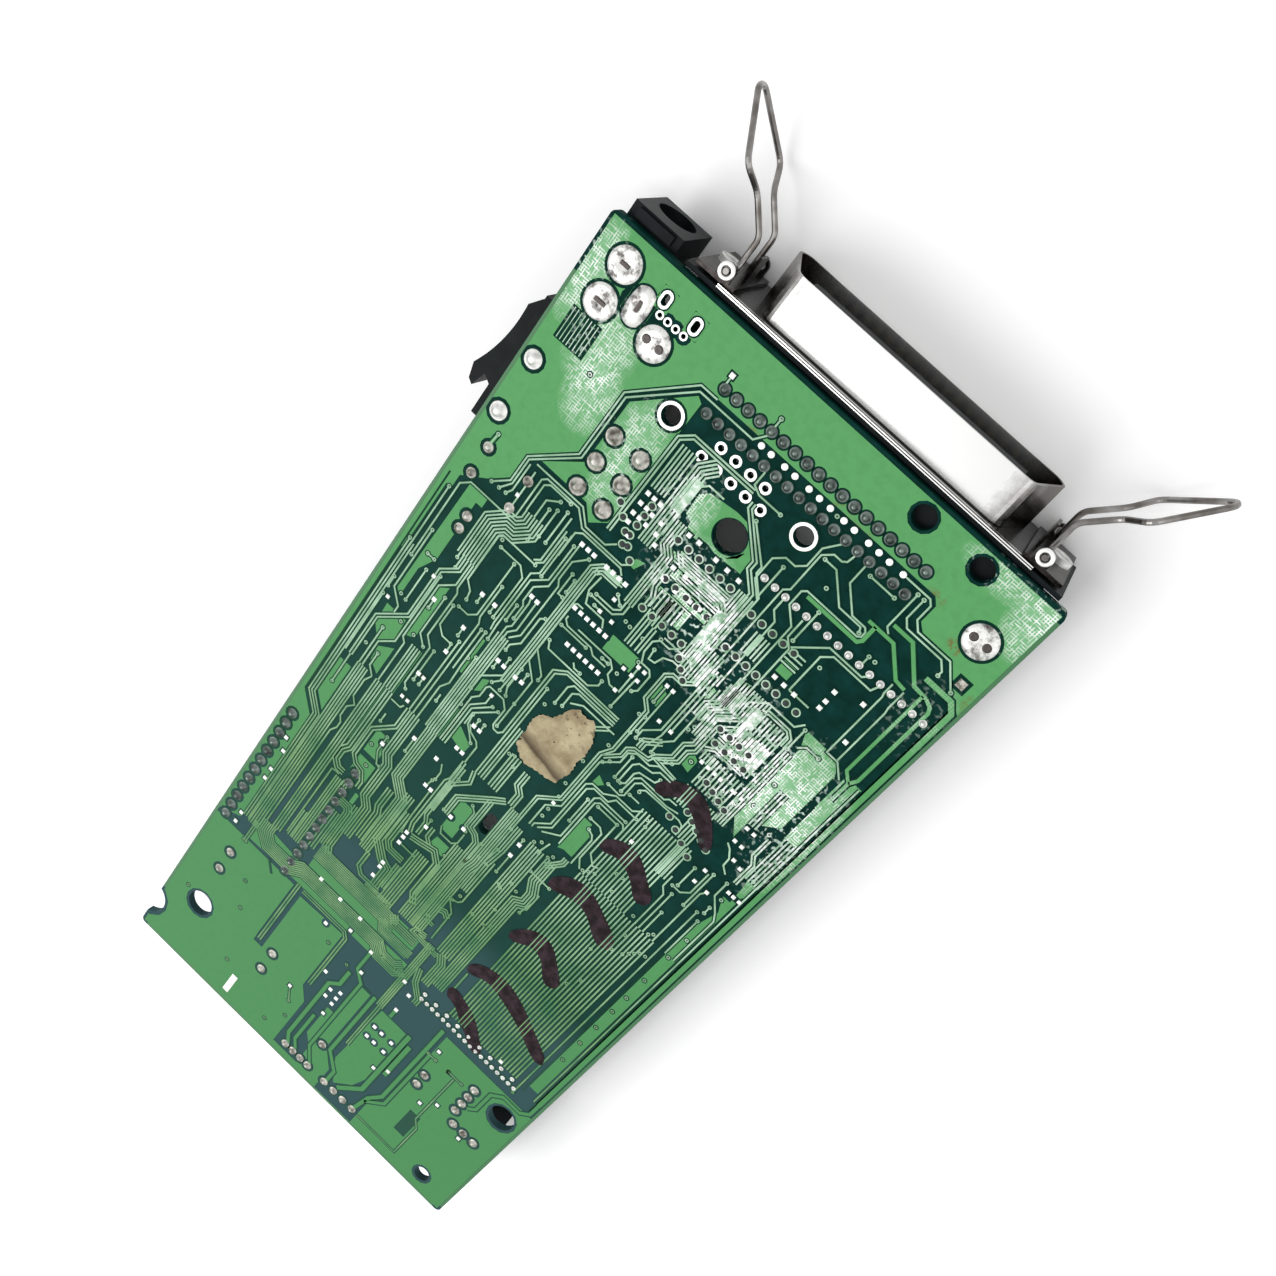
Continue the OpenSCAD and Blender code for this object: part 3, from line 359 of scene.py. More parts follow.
# %% Lacquer over copper
lacquer = Finish("lacquered_copper", Roughness=0.5, Specular_IOR_Level=0.12)
tone = lacquer.mix(lacquer.mm("Y").ramp(0.0, 100.0), linear(89, 158, 96), linear(74, 135, 83))
tone = lacquer.mix(lacquer.noise(1.4, 4).ramp(0.45, 0.8) * 0.35, tone, linear(65, 129, 76))
smears = patches(lacquer, FLUX) * lacquer.noise(1.1, 4, 0.7).ramp(0.45, 0.6)
tone = lacquer.mix(smears.clamped(), tone, linear(115, 94, 50))
glare = patches(lacquer, GLARE)
tone = lacquer.mix((glare * 0.55).clamped(), tone, linear(155, 205, 162))
glitter = (weave(lacquer) * glare * lacquer.noise(2.4, 2).ramp(0.3, 0.55)).clamped()
lacquer.set(Base_Color=lacquer.mix(glitter, tone, linear(255, 255, 255)))
print(len(lacquer.tree.nodes), "nodes in the lacquer")

# %% [markdown]
# ## Lacquered tracks
# A track stands proud under its lacquer, so its edges thin the coat and it looks
# paler than wide copper. It is palest near the connector edge.

# %% Lacquer over tracks
track_coat = Finish("lacquered_track", Roughness=0.5, Specular_IOR_Level=0.15)
cloud = track_coat.noise(6, 3).ramp(0.35, 0.65)
near = track_coat.mix(cloud, linear(129, 168, 135), linear(175, 210, 181))
far = track_coat.mix(cloud, linear(80, 131, 87), linear(118, 157, 109))
tone = track_coat.mix(track_coat.mm("Y").ramp(52.0, 84.0), near, far)
lit = (patches(track_coat, GLARE) * track_coat.noise(1.2, 3).ramp(0.42, 0.62)).clamped()
track_coat.set(Base_Color=track_coat.mix(lit, tone, linear(255, 255, 255)))
edge_coat = plain("edge_lacquer", (50, 107, 63), Roughness=0.5)
# A flat dark disc of painted shade stands for the inside of a hole.
hole_shade = plain("painted_shade_in_a_hole", (14, 26, 24), Roughness=0.6)
print(len(track_coat.tree.nodes), "nodes in the tracks' lacquer")

# %% [markdown]
# ## Tin and solder
# Fresh tin is bright and nearly white. Solder that has boiled off its flux is grey
# and blotched. One noise with two tones gives each its clouds, and only the tones,
# the size of the clouds and the gloss differ.

# %% Tin and solder
tin = mottled("tin", (1.2, 4), (0.4, 0.75), (236, 236, 232), (170, 170, 168), Metallic=0.55, Roughness=0.42)
land_tin = mottled("land_tin", (1.6, 4, 0.7), (0.45, 0.65), (226, 226, 222), (84, 80, 78),
                   Metallic=0.5, Roughness=0.35)
dull_tin = mottled("dull_tin", (1.2, 4), (0.4, 0.65), (196, 194, 186), (96, 92, 84),
                   Metallic=0.6, Roughness=0.45)
solder = mottled("solder", (1.6, 3), (0.4, 0.7), (112, 122, 118), (48, 54, 52),
                 Metallic=0.85, Roughness=0.36)
dark_solder = plain("dark_solder", (70, 64, 62), Metallic=0.7, Roughness=0.4)
bright_tin = plain("bright_tin", (244, 246, 242), Metallic=0.2, Roughness=0.3)
print("tin and solder:", len((tin, land_tin, dull_tin, solder, dark_solder, bright_tin)), "finishes")

# %% [markdown]
# ## The port's steel
# The nose is drawn from plated sheet and bright on its flat. Towards the rounded ends it
# is painted darker and brown, as shade where the ends turn away from the lamps. The
# flange behind it is folded. It is painted dark as shade, with two thin painted highlights
# along its rim. The ends hang on the place across the port, the flange on height and
# length.

# %% Plated steel
PORT_MIDDLE, RIM_MIDDLE = -4.9, -25.05
steel = Finish("plated_steel", Metallic=1.0, Roughness=0.24)
height, length = steel.mm("Z"), steel.mm("Y")
off_middle = (steel.mm("X") - PORT_MIDDLE).absolute()
# Painted shade: darker and browner towards the nose's rounded ends.
ends = (off_middle - steel.noise(2.5, 4, 0.7) * 4).ramp(15.5, 20.5)
nose_tone = steel.mix(ends, linear(228, 228, 226), linear(84, 76, 70))
# Painted highlights: two thin bright lines along the flange's rim; the rest of the flange is painted dark as
# shade.
line = height.ramp(-0.7, -0.64) + height.ramp(-1.75, -1.6) * (1 - height.ramp(-1.4, -1.25))
rim = (length - RIM_MIDDLE).absolute().ramp(0.06, 0.11)
flange_light_and_shade = steel.mix(line.clamped() * rim, linear(18, 16, 16), linear(236, 236, 234))
steel.set(Base_Color=steel.mix(length.ramp(-25.6, -25.35), nose_tone, flange_light_and_shade))
eyelet = plain("eyelet", (236, 236, 232), Metallic=0.8, Roughness=0.3)
bracket = mottled("bracket_steel", (2, 4, 0.7), (0.35, 0.65), (64, 60, 58), (14, 12, 12),
                  Metallic=1.0, Roughness=0.3)
wire = mottled("steel_wire", (4, 2), (0.35, 0.65), (150, 148, 146), (98, 94, 90),
               Metallic=1.0, Roughness=0.28)
# Gold contacts, made dark as painted shade inside the port's mouth.
shaded_gilding = plain("shaded_gilding", (84, 72, 44), Metallic=1.0, Roughness=0.3)
print(len(steel.tree.nodes), "nodes in the port's steel")

# %% [markdown]
# ## Plastics
# The jack, the switch and the port's insulator are moulded in black, with a fine
# matt grain from the tool. The grain is a bump, because it is far finer than a mesh.

# %% Plastics
black = mottled("black_plastic", (3, 3), (0.4, 0.7), (12, 17, 19), (24, 29, 31),
                Roughness=0.4, Specular_IOR_Level=0.07)
black.bump(black.noise(0.35, 2), depth_mm=0.02, strength=0.5)
resin = plain("chip_resin", (38, 38, 40), Roughness=0.55)
grey_plastic = plain("grey_plastic", (62, 64, 66), Roughness=0.5)
pale_plastic = plain("pale_plastic", (226, 222, 208), Roughness=0.45)
sleeve = plain("capacitor_sleeve", (34, 38, 78), Roughness=0.3)
ochre = plain("fuse_case", (150, 138, 84), Roughness=0.4)
print(len(black.tree.nodes), "nodes in the black plastic")

# %% [markdown]
# ## Ink and paper
# Felt-pen ink soaks in unevenly. The scrap is brown paper with dark torn fibres and
# a crease, which is a straight line across it with a shade on one side.

# %% Ink and paper
ink = mottled("felt_pen", (1.6, 4), (0.4, 0.65), (26, 17, 21), (54, 41, 47),
              Roughness=0.6, Specular_IOR_Level=0.1)
paper = Finish("brown_paper", Roughness=0.85)
grain = paper.mix(paper.noise(5, 5, 0.7).ramp(0.35, 0.65), linear(184, 172, 138), linear(138, 122, 92))
# Painted shade: darker on one side of the crease line.
off_crease = paper.mm("Y") + paper.mm("X") * 0.173 - 49.9
shade = off_crease.ramp(-2.4, 0.0) * (1 - off_crease.ramp(0.0, 0.3))
fibres = paper.noise(1.6, 4, 0.7).ramp(0.56, 0.66) * (1 - paper.mm("Y").ramp(41.0, 46.0))
# Real torn fibres and the painted shade by the crease, in one dark brown.
fibres_and_crease_shade = (fibres + shade * 0.85).clamped()
paper.set(Base_Color=paper.mix(fibres_and_crease_shade, grain, linear(66, 50, 34)))
print(len(paper.tree.nodes), "nodes in the paper")

# %% [markdown]
# ## What each node wears
# The frame's nodes keep their shape and only change their finish. A table of finish
# to nodes is shorter than a line for each, and shows at once what is made alike.

# %% Finishes of the nodes
WEARS = {
    laminate: ["board"],
    lacquer: ["ground_copper"],
    track_coat: ["track_copper"],
    bright_tin: ["empty_hole_lands", "test_lands"],
    tin: ["jack_joints", "switch_joints", "header_joints", "head_socket_joints", "rear_joints", "port_tails",
          "jack_pin", "jack_spring", "jack_terminals", "option_pins", "bail_screw_right", "bail_screw_left"],
    solder: ["port_joints", "choke_joints", "memory_joints"],
    steel: ["port_shell", "crystal"],
    wire: ["bail_right", "bail_left"],
    bracket: ["bail_bracket_right", "bail_bracket_left"],
    shaded_gilding: ["port_contacts"],
    black: ["port_insulator", "jack_body", "switch_body", "switch_rocker", "option_header", "regulator",
            "input_diode"],
    resin: ["memory_chip", "processor", "bus_chips", "driver_chip"],
    grey_plastic: ["filter_choke", "memory_socket"],
    pale_plastic: ["head_socket", "sensor_socket", "motor_socket"],
    sleeve: ["capacitor_corner", "capacitor_rear", "capacitor_small"],
    ochre: ["fuse"],
    paper: ["paper_scrap"],
}
for finish, wearers in WEARS.items():
    for name in wearers:
        materials = nodes[name].data.materials
        materials.clear()
        materials.append(finish.material)
print(sum(map(len, WEARS.values())), "nodes have a finish")

# %% [markdown]
# ## Etched tracks
# A track is copper left by the etching bath, so its sides slope, and green lacquer
# runs over it. Each entry of the tables is a number of lanes, the ends, the bent
# centre line and the pitch, which is 0.5 mm where it isn't given. For the ends, "o"
# is a plated hole and "-" runs into a joint, a land or another track.
#
# Up to five lanes run side by side here. A line could be a curve object, but a list of
# its bends is enough, because etched tracks run straight between their bends.

# %% Tracks from the port, round the choke
TRACKS = [
    (1, "-o", [(26.6, 9.6), (23.6, 9.6), (15.5, 17.9), (15.5, 29.5), (9.4, 35.4), (9.4, 40.2),
               (7.1, 42.5)]),
    (1, "-o", [(35.2, 8.4), (33.8, 10.4), (24, 10.4), (16.1, 18.3), (16.1, 29.7), (9.9, 35.6),
               (9.9, 40.4), (8.6, 42.4)]), (1, "-o", [(10.5, 36), (10.5, 41.2), (9.9, 42.3)]),
    (1, "--", [(26.2, 5.7), (26.2, 7.8)]), (1, "o-", [(35.1, 5.6), (35.1, 7.8)]),
    (1, "oo", [(3.9, 36), (3.6, 38.7)]),
    (2, "--", [(38.6, 15.8), (27.3, 15.8), (25.6, 17.4), (25.6, 35.2)], 0.55),
    (1, "-o", [(38, 12.6), (38, 15), (39.4, 15.7), (43.4, 15.7)]),
    (2, "--", [(39.6, 17), (39.6, 18), (45, 23.4), (45, 24.8), (47.6, 27.4), (47.6, 42)], 0.56),
    (1, "o-", [(41.4, 18.8), (46.2, 23.3), (46.2, 24.5), (48.8, 27.1), (48.8, 42)]),
    (5, "--", [(27.9, 17.6), (27.9, 25.6)], 0.6), (5, "--", [(32.6, 16.8), (31, 18.8), (31, 33)], 0.55),
    (1, "--", [(36, 19.6), (33.2, 19.6), (32.3, 20.6), (32.3, 30)]),
    (4, "--", [(33.6, 26.5), (33.6, 30.8), (34.8, 32), (34.8, 42)], 0.5),
    (3, "--", [(41, 31.6), (45.2, 31.6), (46.2, 32.6), (46.2, 42)], 0.5),
    (2, "--", [(35.8, 30), (37.4, 31.6), (41, 31.6)], 0.6),
    (2, "--", [(36.2, 33), (36.2, 36.8), (37, 38.4), (37, 40)], 0.6),
    (3, "--", [(39.6, 36.8), (39.6, 42)], 0.6),
]
print(len(TRACKS), "bundles of tracks")

# %% [markdown]
# ## Tracks behind the choke
# Behind the choke, towards the rear, nearly all lines are single.

# %% Tracks behind the choke
TRACKS += [
    (1, "--", [(11.3, 35.3), (20.6, 35.3), (22.7, 37.4), (26.6, 37.4), (28, 36)]),
    (1, "--", [(13.2, 42), (13.2, 36.6), (13.9, 35.9), (20.2, 35.9), (22.4, 38), (30.4, 38),
               (31.4, 37)]), (1, "-o", [(14, 42), (14, 37), (14.8, 36.3), (18.9, 36.3)]),
    (1, "-o", [(15.6, 42), (15.6, 38.6), (17.5, 37.2)]), (1, "oo", [(17.9, 38.6), (17.9, 43.9)]),
    (1, "oo", [(19.3, 37.7), (19.3, 43.9)]), (1, "oo", [(16.8, 39.4), (16.8, 45.6)]),
    (1, "--", [(20.3, 37.9), (20.3, 46.6), (19.4, 47.4)]),
    (1, "--", [(22, 44), (22, 39.3), (23, 38.5), (30.6, 38.5), (31.4, 39.3)]),
    (2, "--", [(28.2, 42), (28.2, 41), (29, 40.4), (32.6, 40.4)], 0.5),
    (1, "-o", [(11.8, 36.4), (11.8, 44)]),
]
print(len(TRACKS), "bundles of tracks")

# %% [markdown]
# ## Tracks from the port, towards the far edge
# Here nearly every line is single.

# %% Tracks from the port, towards the far edge
TRACKS += [
    (1, "--", [(52.4, 12.9), (50.8, 15.2), (50.8, 18.6), (49.6, 19.8), (47.9, 19.8), (46.5, 21.2),
               (46.5, 25.2), (48.9, 27.6)]),
    (1, "--", [(54.8, 12.9), (54.6, 14.2), (54, 14.7), (52.6, 14.7), (51.3, 16), (51.3, 22.8),
               (50.5, 23.6), (50.5, 42)]),
    (1, "oo", [(52.1, 16.1), (54.2, 16.1), (58, 19.9), (62, 19.9), (62.4, 20.7)]),
    (1, "--", [(56.8, 12.9), (56.8, 16.2), (60.1, 19.5), (62.5, 19.5), (63, 20), (63, 20.9),
               (62.5, 21.3), (53.2, 21.3), (52.6, 21.9), (52.6, 24.6), (54.9, 26.9), (54.9, 42)]),
    (1, "oo", [(58.2, 13.5), (62.6, 13.5)]), (1, "o-", [(48.5, 21.1), (48.5, 26.8)]),
    (1, "oo", [(56.4, 22.5), (56.4, 28.3)]),
    (1, "--", [(51.5, 24.2), (51.5, 26.8), (52.7, 28.1), (52.7, 42)]),
    (1, "--", [(55.5, 25), (55.5, 28.4), (56.8, 29.7), (56.8, 42)]),
    (1, "--", [(67.5, 24.6), (66.9, 25.3), (60.9, 25.3), (56.8, 29.3)]),
    (1, "--", [(69.6, 24.6), (69.1, 25.9), (62.2, 25.9), (60.8, 27.3), (60.8, 34.4)]),
    (1, "o-", [(64.6, 10.9), (64.6, 17.2), (65.4, 17.9)]),
    (1, "oo", [(65.7, 10.9), (65.7, 14.4), (66.7, 15.5), (73, 15.5), (74.2, 16.7), (74.2, 17.5)]),
    (1, "-o", [(61.3, 10.2), (66.2, 10.2), (66.9, 10.9), (66.9, 13.6), (68.1, 14.8), (74, 14.8),
               (76.7, 17.7), (77.1, 18.1)]),
    (1, "--", [(70.7, 22.9), (70.7, 24.8), (70.9, 25.4), (70.9, 37.6), (73, 37.6), (75, 39.6)]),
    (1, "--", [(72.6, 22.7), (72.6, 26), (72.8, 27), (72.8, 37.4)]),
    (1, "o-", [(65.7, 22.3), (65.7, 24.2)]),
    (1, "--", [(66, 36.7), (65, 38.2), (60, 38.2), (57.8, 40.2), (57.8, 42)]),
    (1, "--", [(60.8, 34.4), (64.6, 34.4)]),
    (2, "--", [(65.8, 42), (65.8, 40.2), (64.8, 39.3), (61, 39.3), (59.8, 40.5), (59.8, 42)], 0.5),
    (1, "oo", [(66.5, 37.4), (66.5, 41.6)]), (1, "-o", [(67.4, 40.4), (68.4, 39.3), (70.7, 39.3)]),
]
print(len(TRACKS), "bundles of tracks")

# %% [markdown]
# ## Tracks down the jack-side edge
# These run along the edge towards the rear. More than half of their ends are plated
# holes, and a bundle has up to eight lanes.

# %% Tracks down the jack-side edge
TRACKS += [
    (3, "--", [(2.05, 60), (2.05, 95.2), (5.1, 98.4), (5.1, 127)], 0.55),
    (1, "o-", [(2.1, 48.1), (2.1, 61)]), (1, "o-", [(1.5, 59.6), (1.5, 61)]),
    (1, "-o", [(13.2, 42), (13.2, 44.1), (12.3, 45), (4.6, 45), (3.2, 46.4), (3.2, 61.7)]),
    (1, "o-", [(3.8, 55.8), (3.8, 68.3), (6.2, 70.6), (6.2, 72)]), (1, "oo", [(2.9, 66.9), (2.9, 69)]),
    (1, "o-", [(2.9, 70.7), (2.9, 84)]),
    (8, "--", [(16, 42), (16, 44.2), (14.3, 46), (12.7, 46), (10.9, 47.9), (10.9, 55.4)], 0.55),
    (2, "--", [(11, 55.4), (11, 57.8), (8.5, 60.2), (8.5, 70.5), (4.1, 74.8), (4.1, 84)], 0.55),
    (1, "--", [(11.9, 55.4), (11.9, 60.2), (9.7, 62.4), (9.7, 74.2), (10.5, 75), (10.5, 84)]),
    (1, "o-", [(10.2, 57.9), (10.2, 55)]), (1, "o-", [(9.5, 56.3), (9.5, 55)]),
    (1, "-o", [(12.4, 55.4), (12.4, 60.4), (12.9, 61.2), (12.9, 70.7), (14.4, 72.2), (14.4, 80.6),
               (15.1, 81.5)]),
    (1, "oo", [(20.1, 47.9), (13.4, 47.9), (12.9, 48.4), (12.9, 57.9), (14.3, 59.2), (14.6, 60.8)]),
    (1, "oo", [(14.2, 49.7), (18.3, 49.7), (19.7, 51.1), (19.7, 59.8)]),
    (1, "oo", [(17.4, 50.3), (17.4, 61.5), (16.2, 62.7), (14.3, 62.7)]),
    (1, "o-", [(18, 54.7), (18, 61.4), (18.5, 62.5), (18.5, 84)]),
    (1, "oo", [(13.5, 63.3), (13.5, 67.6), (14.9, 68.9), (16.8, 68.9)]),
    (1, "oo", [(11.7, 63.3), (11.7, 71.4), (13.4, 73)]), (1, "oo", [(6.6, 61.9), (6.6, 68.7)]),
    (1, "o-", [(17.7, 67.5), (17.7, 84)]), (1, "oo", [(5.3, 59.5), (6.7, 59.5)]),
    (1, "o-", [(9.1, 61), (9.1, 76), (6.8, 78.3), (6.8, 84)]), (1, "o-", [(6.1, 75.7), (6.1, 84)]),
    (1, "o-", [(7.9, 80.2), (7.9, 83), (9.3, 84.4)]), (4, "--", [(12.6, 74), (12.6, 84)], 0.55),
    (1, "-o", [(16.2, 58.1), (16.2, 59.8)]), (1, "-o", [(18.8, 58), (18.8, 59.6)]),
    (1, "-o", [(16.9, 65), (16.9, 66.8)]), (1, "-o", [(10.4, 64.9), (10.4, 66.8)]),
    (1, "--", [(16.9, 70.6), (16.9, 68.9)]), (1, "oo", [(15.3, 72.2), (15.3, 79)]),
    (1, "-o", [(16.5, 77.4), (16.5, 79)]), (1, "-o", [(20.4, 77.4), (20.4, 79)]),
]
print(len(TRACKS), "bundles of tracks")

# %% [markdown]
# ## Tracks in the middle of the board
# Almost all of these are single lines, and about half of their ends are plated holes.

# %% Tracks in the middle of the board
TRACKS += [
    (1, "--", [(20.9, 40), (20.9, 46.6), (19.9, 47.6)]),
    (1, "o-", [(21.4, 41.1), (21.4, 48.4), (20.3, 49.5), (20.3, 60.4), (20.5, 61.8)]),
    (1, "-o", [(21.9, 40), (21.9, 48.6)]),
    (1, "oo", [(23.1, 41.1), (23.1, 48.2), (20.9, 50.4), (20.9, 60.4), (21.1, 63.4)]),
    (1, "-o", [(23.7, 40), (23.7, 49), (21.9, 50.9), (21.9, 53.9), (22.4, 54.6), (22.4, 57.4)]),
    (1, "--", [(22.6, 52.4), (22.9, 53.6), (22.9, 58.6), (22.3, 59.4), (22.3, 62)]),
    (1, "--", [(23.8, 52.4), (23.9, 58.6), (22.9, 60), (22.9, 62)]),
    (5, "--", [(22.8, 61), (22.8, 84)], 0.5), (1, "oo", [(21.6, 55.3), (21.6, 58.6)]),
    (1, "o-", [(26.1, 41), (24.3, 43.2), (24.3, 46.9), (24.9, 47.9), (24.9, 58.8), (23.6, 60.6)]),
    (1, "oo", [(25.5, 44.7), (25.5, 48.8), (26.4, 48.8)]), (1, "oo", [(26.4, 45.3), (26.4, 47.7)]),
    (4, "--", [(32, 40.6), (28.6, 40.6), (27.5, 41.8), (27.5, 60), (27.4, 67.4)], 0.48),
    (1, "--", [(29.2, 41.7), (28.9, 44.7), (29.8, 46.8), (33.4, 46.8), (34.1, 48)]),
    (1, "o-", [(29.6, 45.1), (33.9, 45.1), (35.2, 43.8), (35.2, 42)]),
    (1, "o-", [(30.2, 44.4), (33.6, 44.4), (34.5, 43.6), (34.5, 42)]),
    (1, "o-", [(31, 46), (32.2, 46.1)]), (1, "oo", [(32.8, 42), (34, 43.1)]),
    (1, "-o", [(30, 47.8), (28.9, 47.8), (28.3, 48.4), (28.3, 58.5), (31.4, 61.6), (31.4, 62.6)]),
    (1, "--", [(28.9, 50.4), (28.9, 51.1), (29.7, 51.8), (34.6, 51.8), (35.6, 52.6), (38.2, 52.6)]),
    (1, "oo", [(28.9, 52.4), (34, 52.4)]),
    (1, "--", [(31.4, 51), (38.1, 51), (39.2, 52), (39.2, 53.2), (40.4, 54.3), (41.6, 54.3)]),
    (1, "oo", [(37, 51.8), (38.2, 51.8)]), (1, "-o", [(34, 55.8), (34.6, 56.5), (35.8, 56.5)]),
    (1, "oo", [(28.9, 55.8), (29.6, 57.1), (37.9, 57.1), (39.2, 55.8), (39.2, 54.8)]),
    (1, "--", [(45, 57.7), (34.2, 57.7), (32.2, 59.3), (32.2, 74.4), (31.6, 75.2), (30.7, 75.2),
               (30.2, 74.6), (30.2, 71), (29, 69.7), (26, 69.7), (25.6, 70.3), (25.6, 72.4),
               (24.7, 73.6), (24.7, 84)]),
    (1, "--", [(45, 58.2), (34.4, 58.2), (32.8, 59.6), (32.8, 84)]),
    (1, "-o", [(45, 58.8), (36.4, 58.8), (35.7, 59.8), (35.7, 63.5)]),
    (1, "-o", [(45, 59.3), (37.8, 59.3), (36.9, 60.1), (36.9, 63)]),
    (1, "--", [(46, 60.3), (39.5, 60.3), (37.6, 61.6)]), (1, "o-", [(33.4, 62.6), (33.4, 84)]),
    (2, "--", [(34.3, 71.5), (34.3, 84)], 0.55), (1, "oo", [(30.8, 68.9), (30.8, 74.3)]),
    (1, "--", [(28.3, 59), (28.3, 61), (30.8, 63.5), (30.8, 68.9)]),
    (1, "oo", [(28.3, 63.2), (28.3, 67.6), (28.9, 68.9)]), (1, "o-", [(29.6, 63.2), (29.6, 65)]),
    (1, "o-", [(25.8, 63.3), (25.8, 65)]), (1, "-o", [(24.5, 65), (24.5, 66.6)]),
    (1, "oo", [(26.4, 53.6), (25.7, 54.2), (25.7, 59.8), (24.4, 61.4), (24.4, 62.6)]),
    (1, "-o", [(26.6, 64), (26.6, 66.4), (23.7, 69.4), (23.7, 72.4)]),
    (1, "-o", [(27.1, 67), (25.8, 68.8)]), (1, "-o", [(27.6, 67), (27.6, 68.9)]),
    (1, "--", [(27.1, 70.7), (27.1, 72.6), (25.2, 74.9), (25.2, 84)]),
    (1, "o-", [(28.4, 72.2), (25.8, 75.2), (25.8, 84)]),
    (1, "o-", [(29.6, 72.2), (26.4, 75.7), (26.4, 78.4)]), (1, "o-", [(28, 75.9), (28, 77.4)]),
    (1, "o-", [(29.2, 75.9), (29.2, 77.4)]),
    (1, "oo", [(26.6, 75.9), (26.9, 78), (28.2, 79.3), (29.2, 80.4)]),
    (1, "--", [(27.2, 77.6), (28, 78.7), (29.8, 79.4), (30.4, 80.2), (30.4, 84)]),
    (1, "o-", [(20.2, 62.8), (20.2, 70.6), (20.4, 74.6), (19.5, 76.4), (19.5, 84)]),
    (1, "-o", [(19.4, 72), (19.4, 63)]), (1, "o-", [(21.4, 67.5), (21.4, 84)]),
]
print(len(TRACKS), "bundles of tracks")

# %% [markdown]
# ## Tracks between the bus chips and the processor
# Here lie wide bundles of up to fourteen lanes, which shift sideways together.

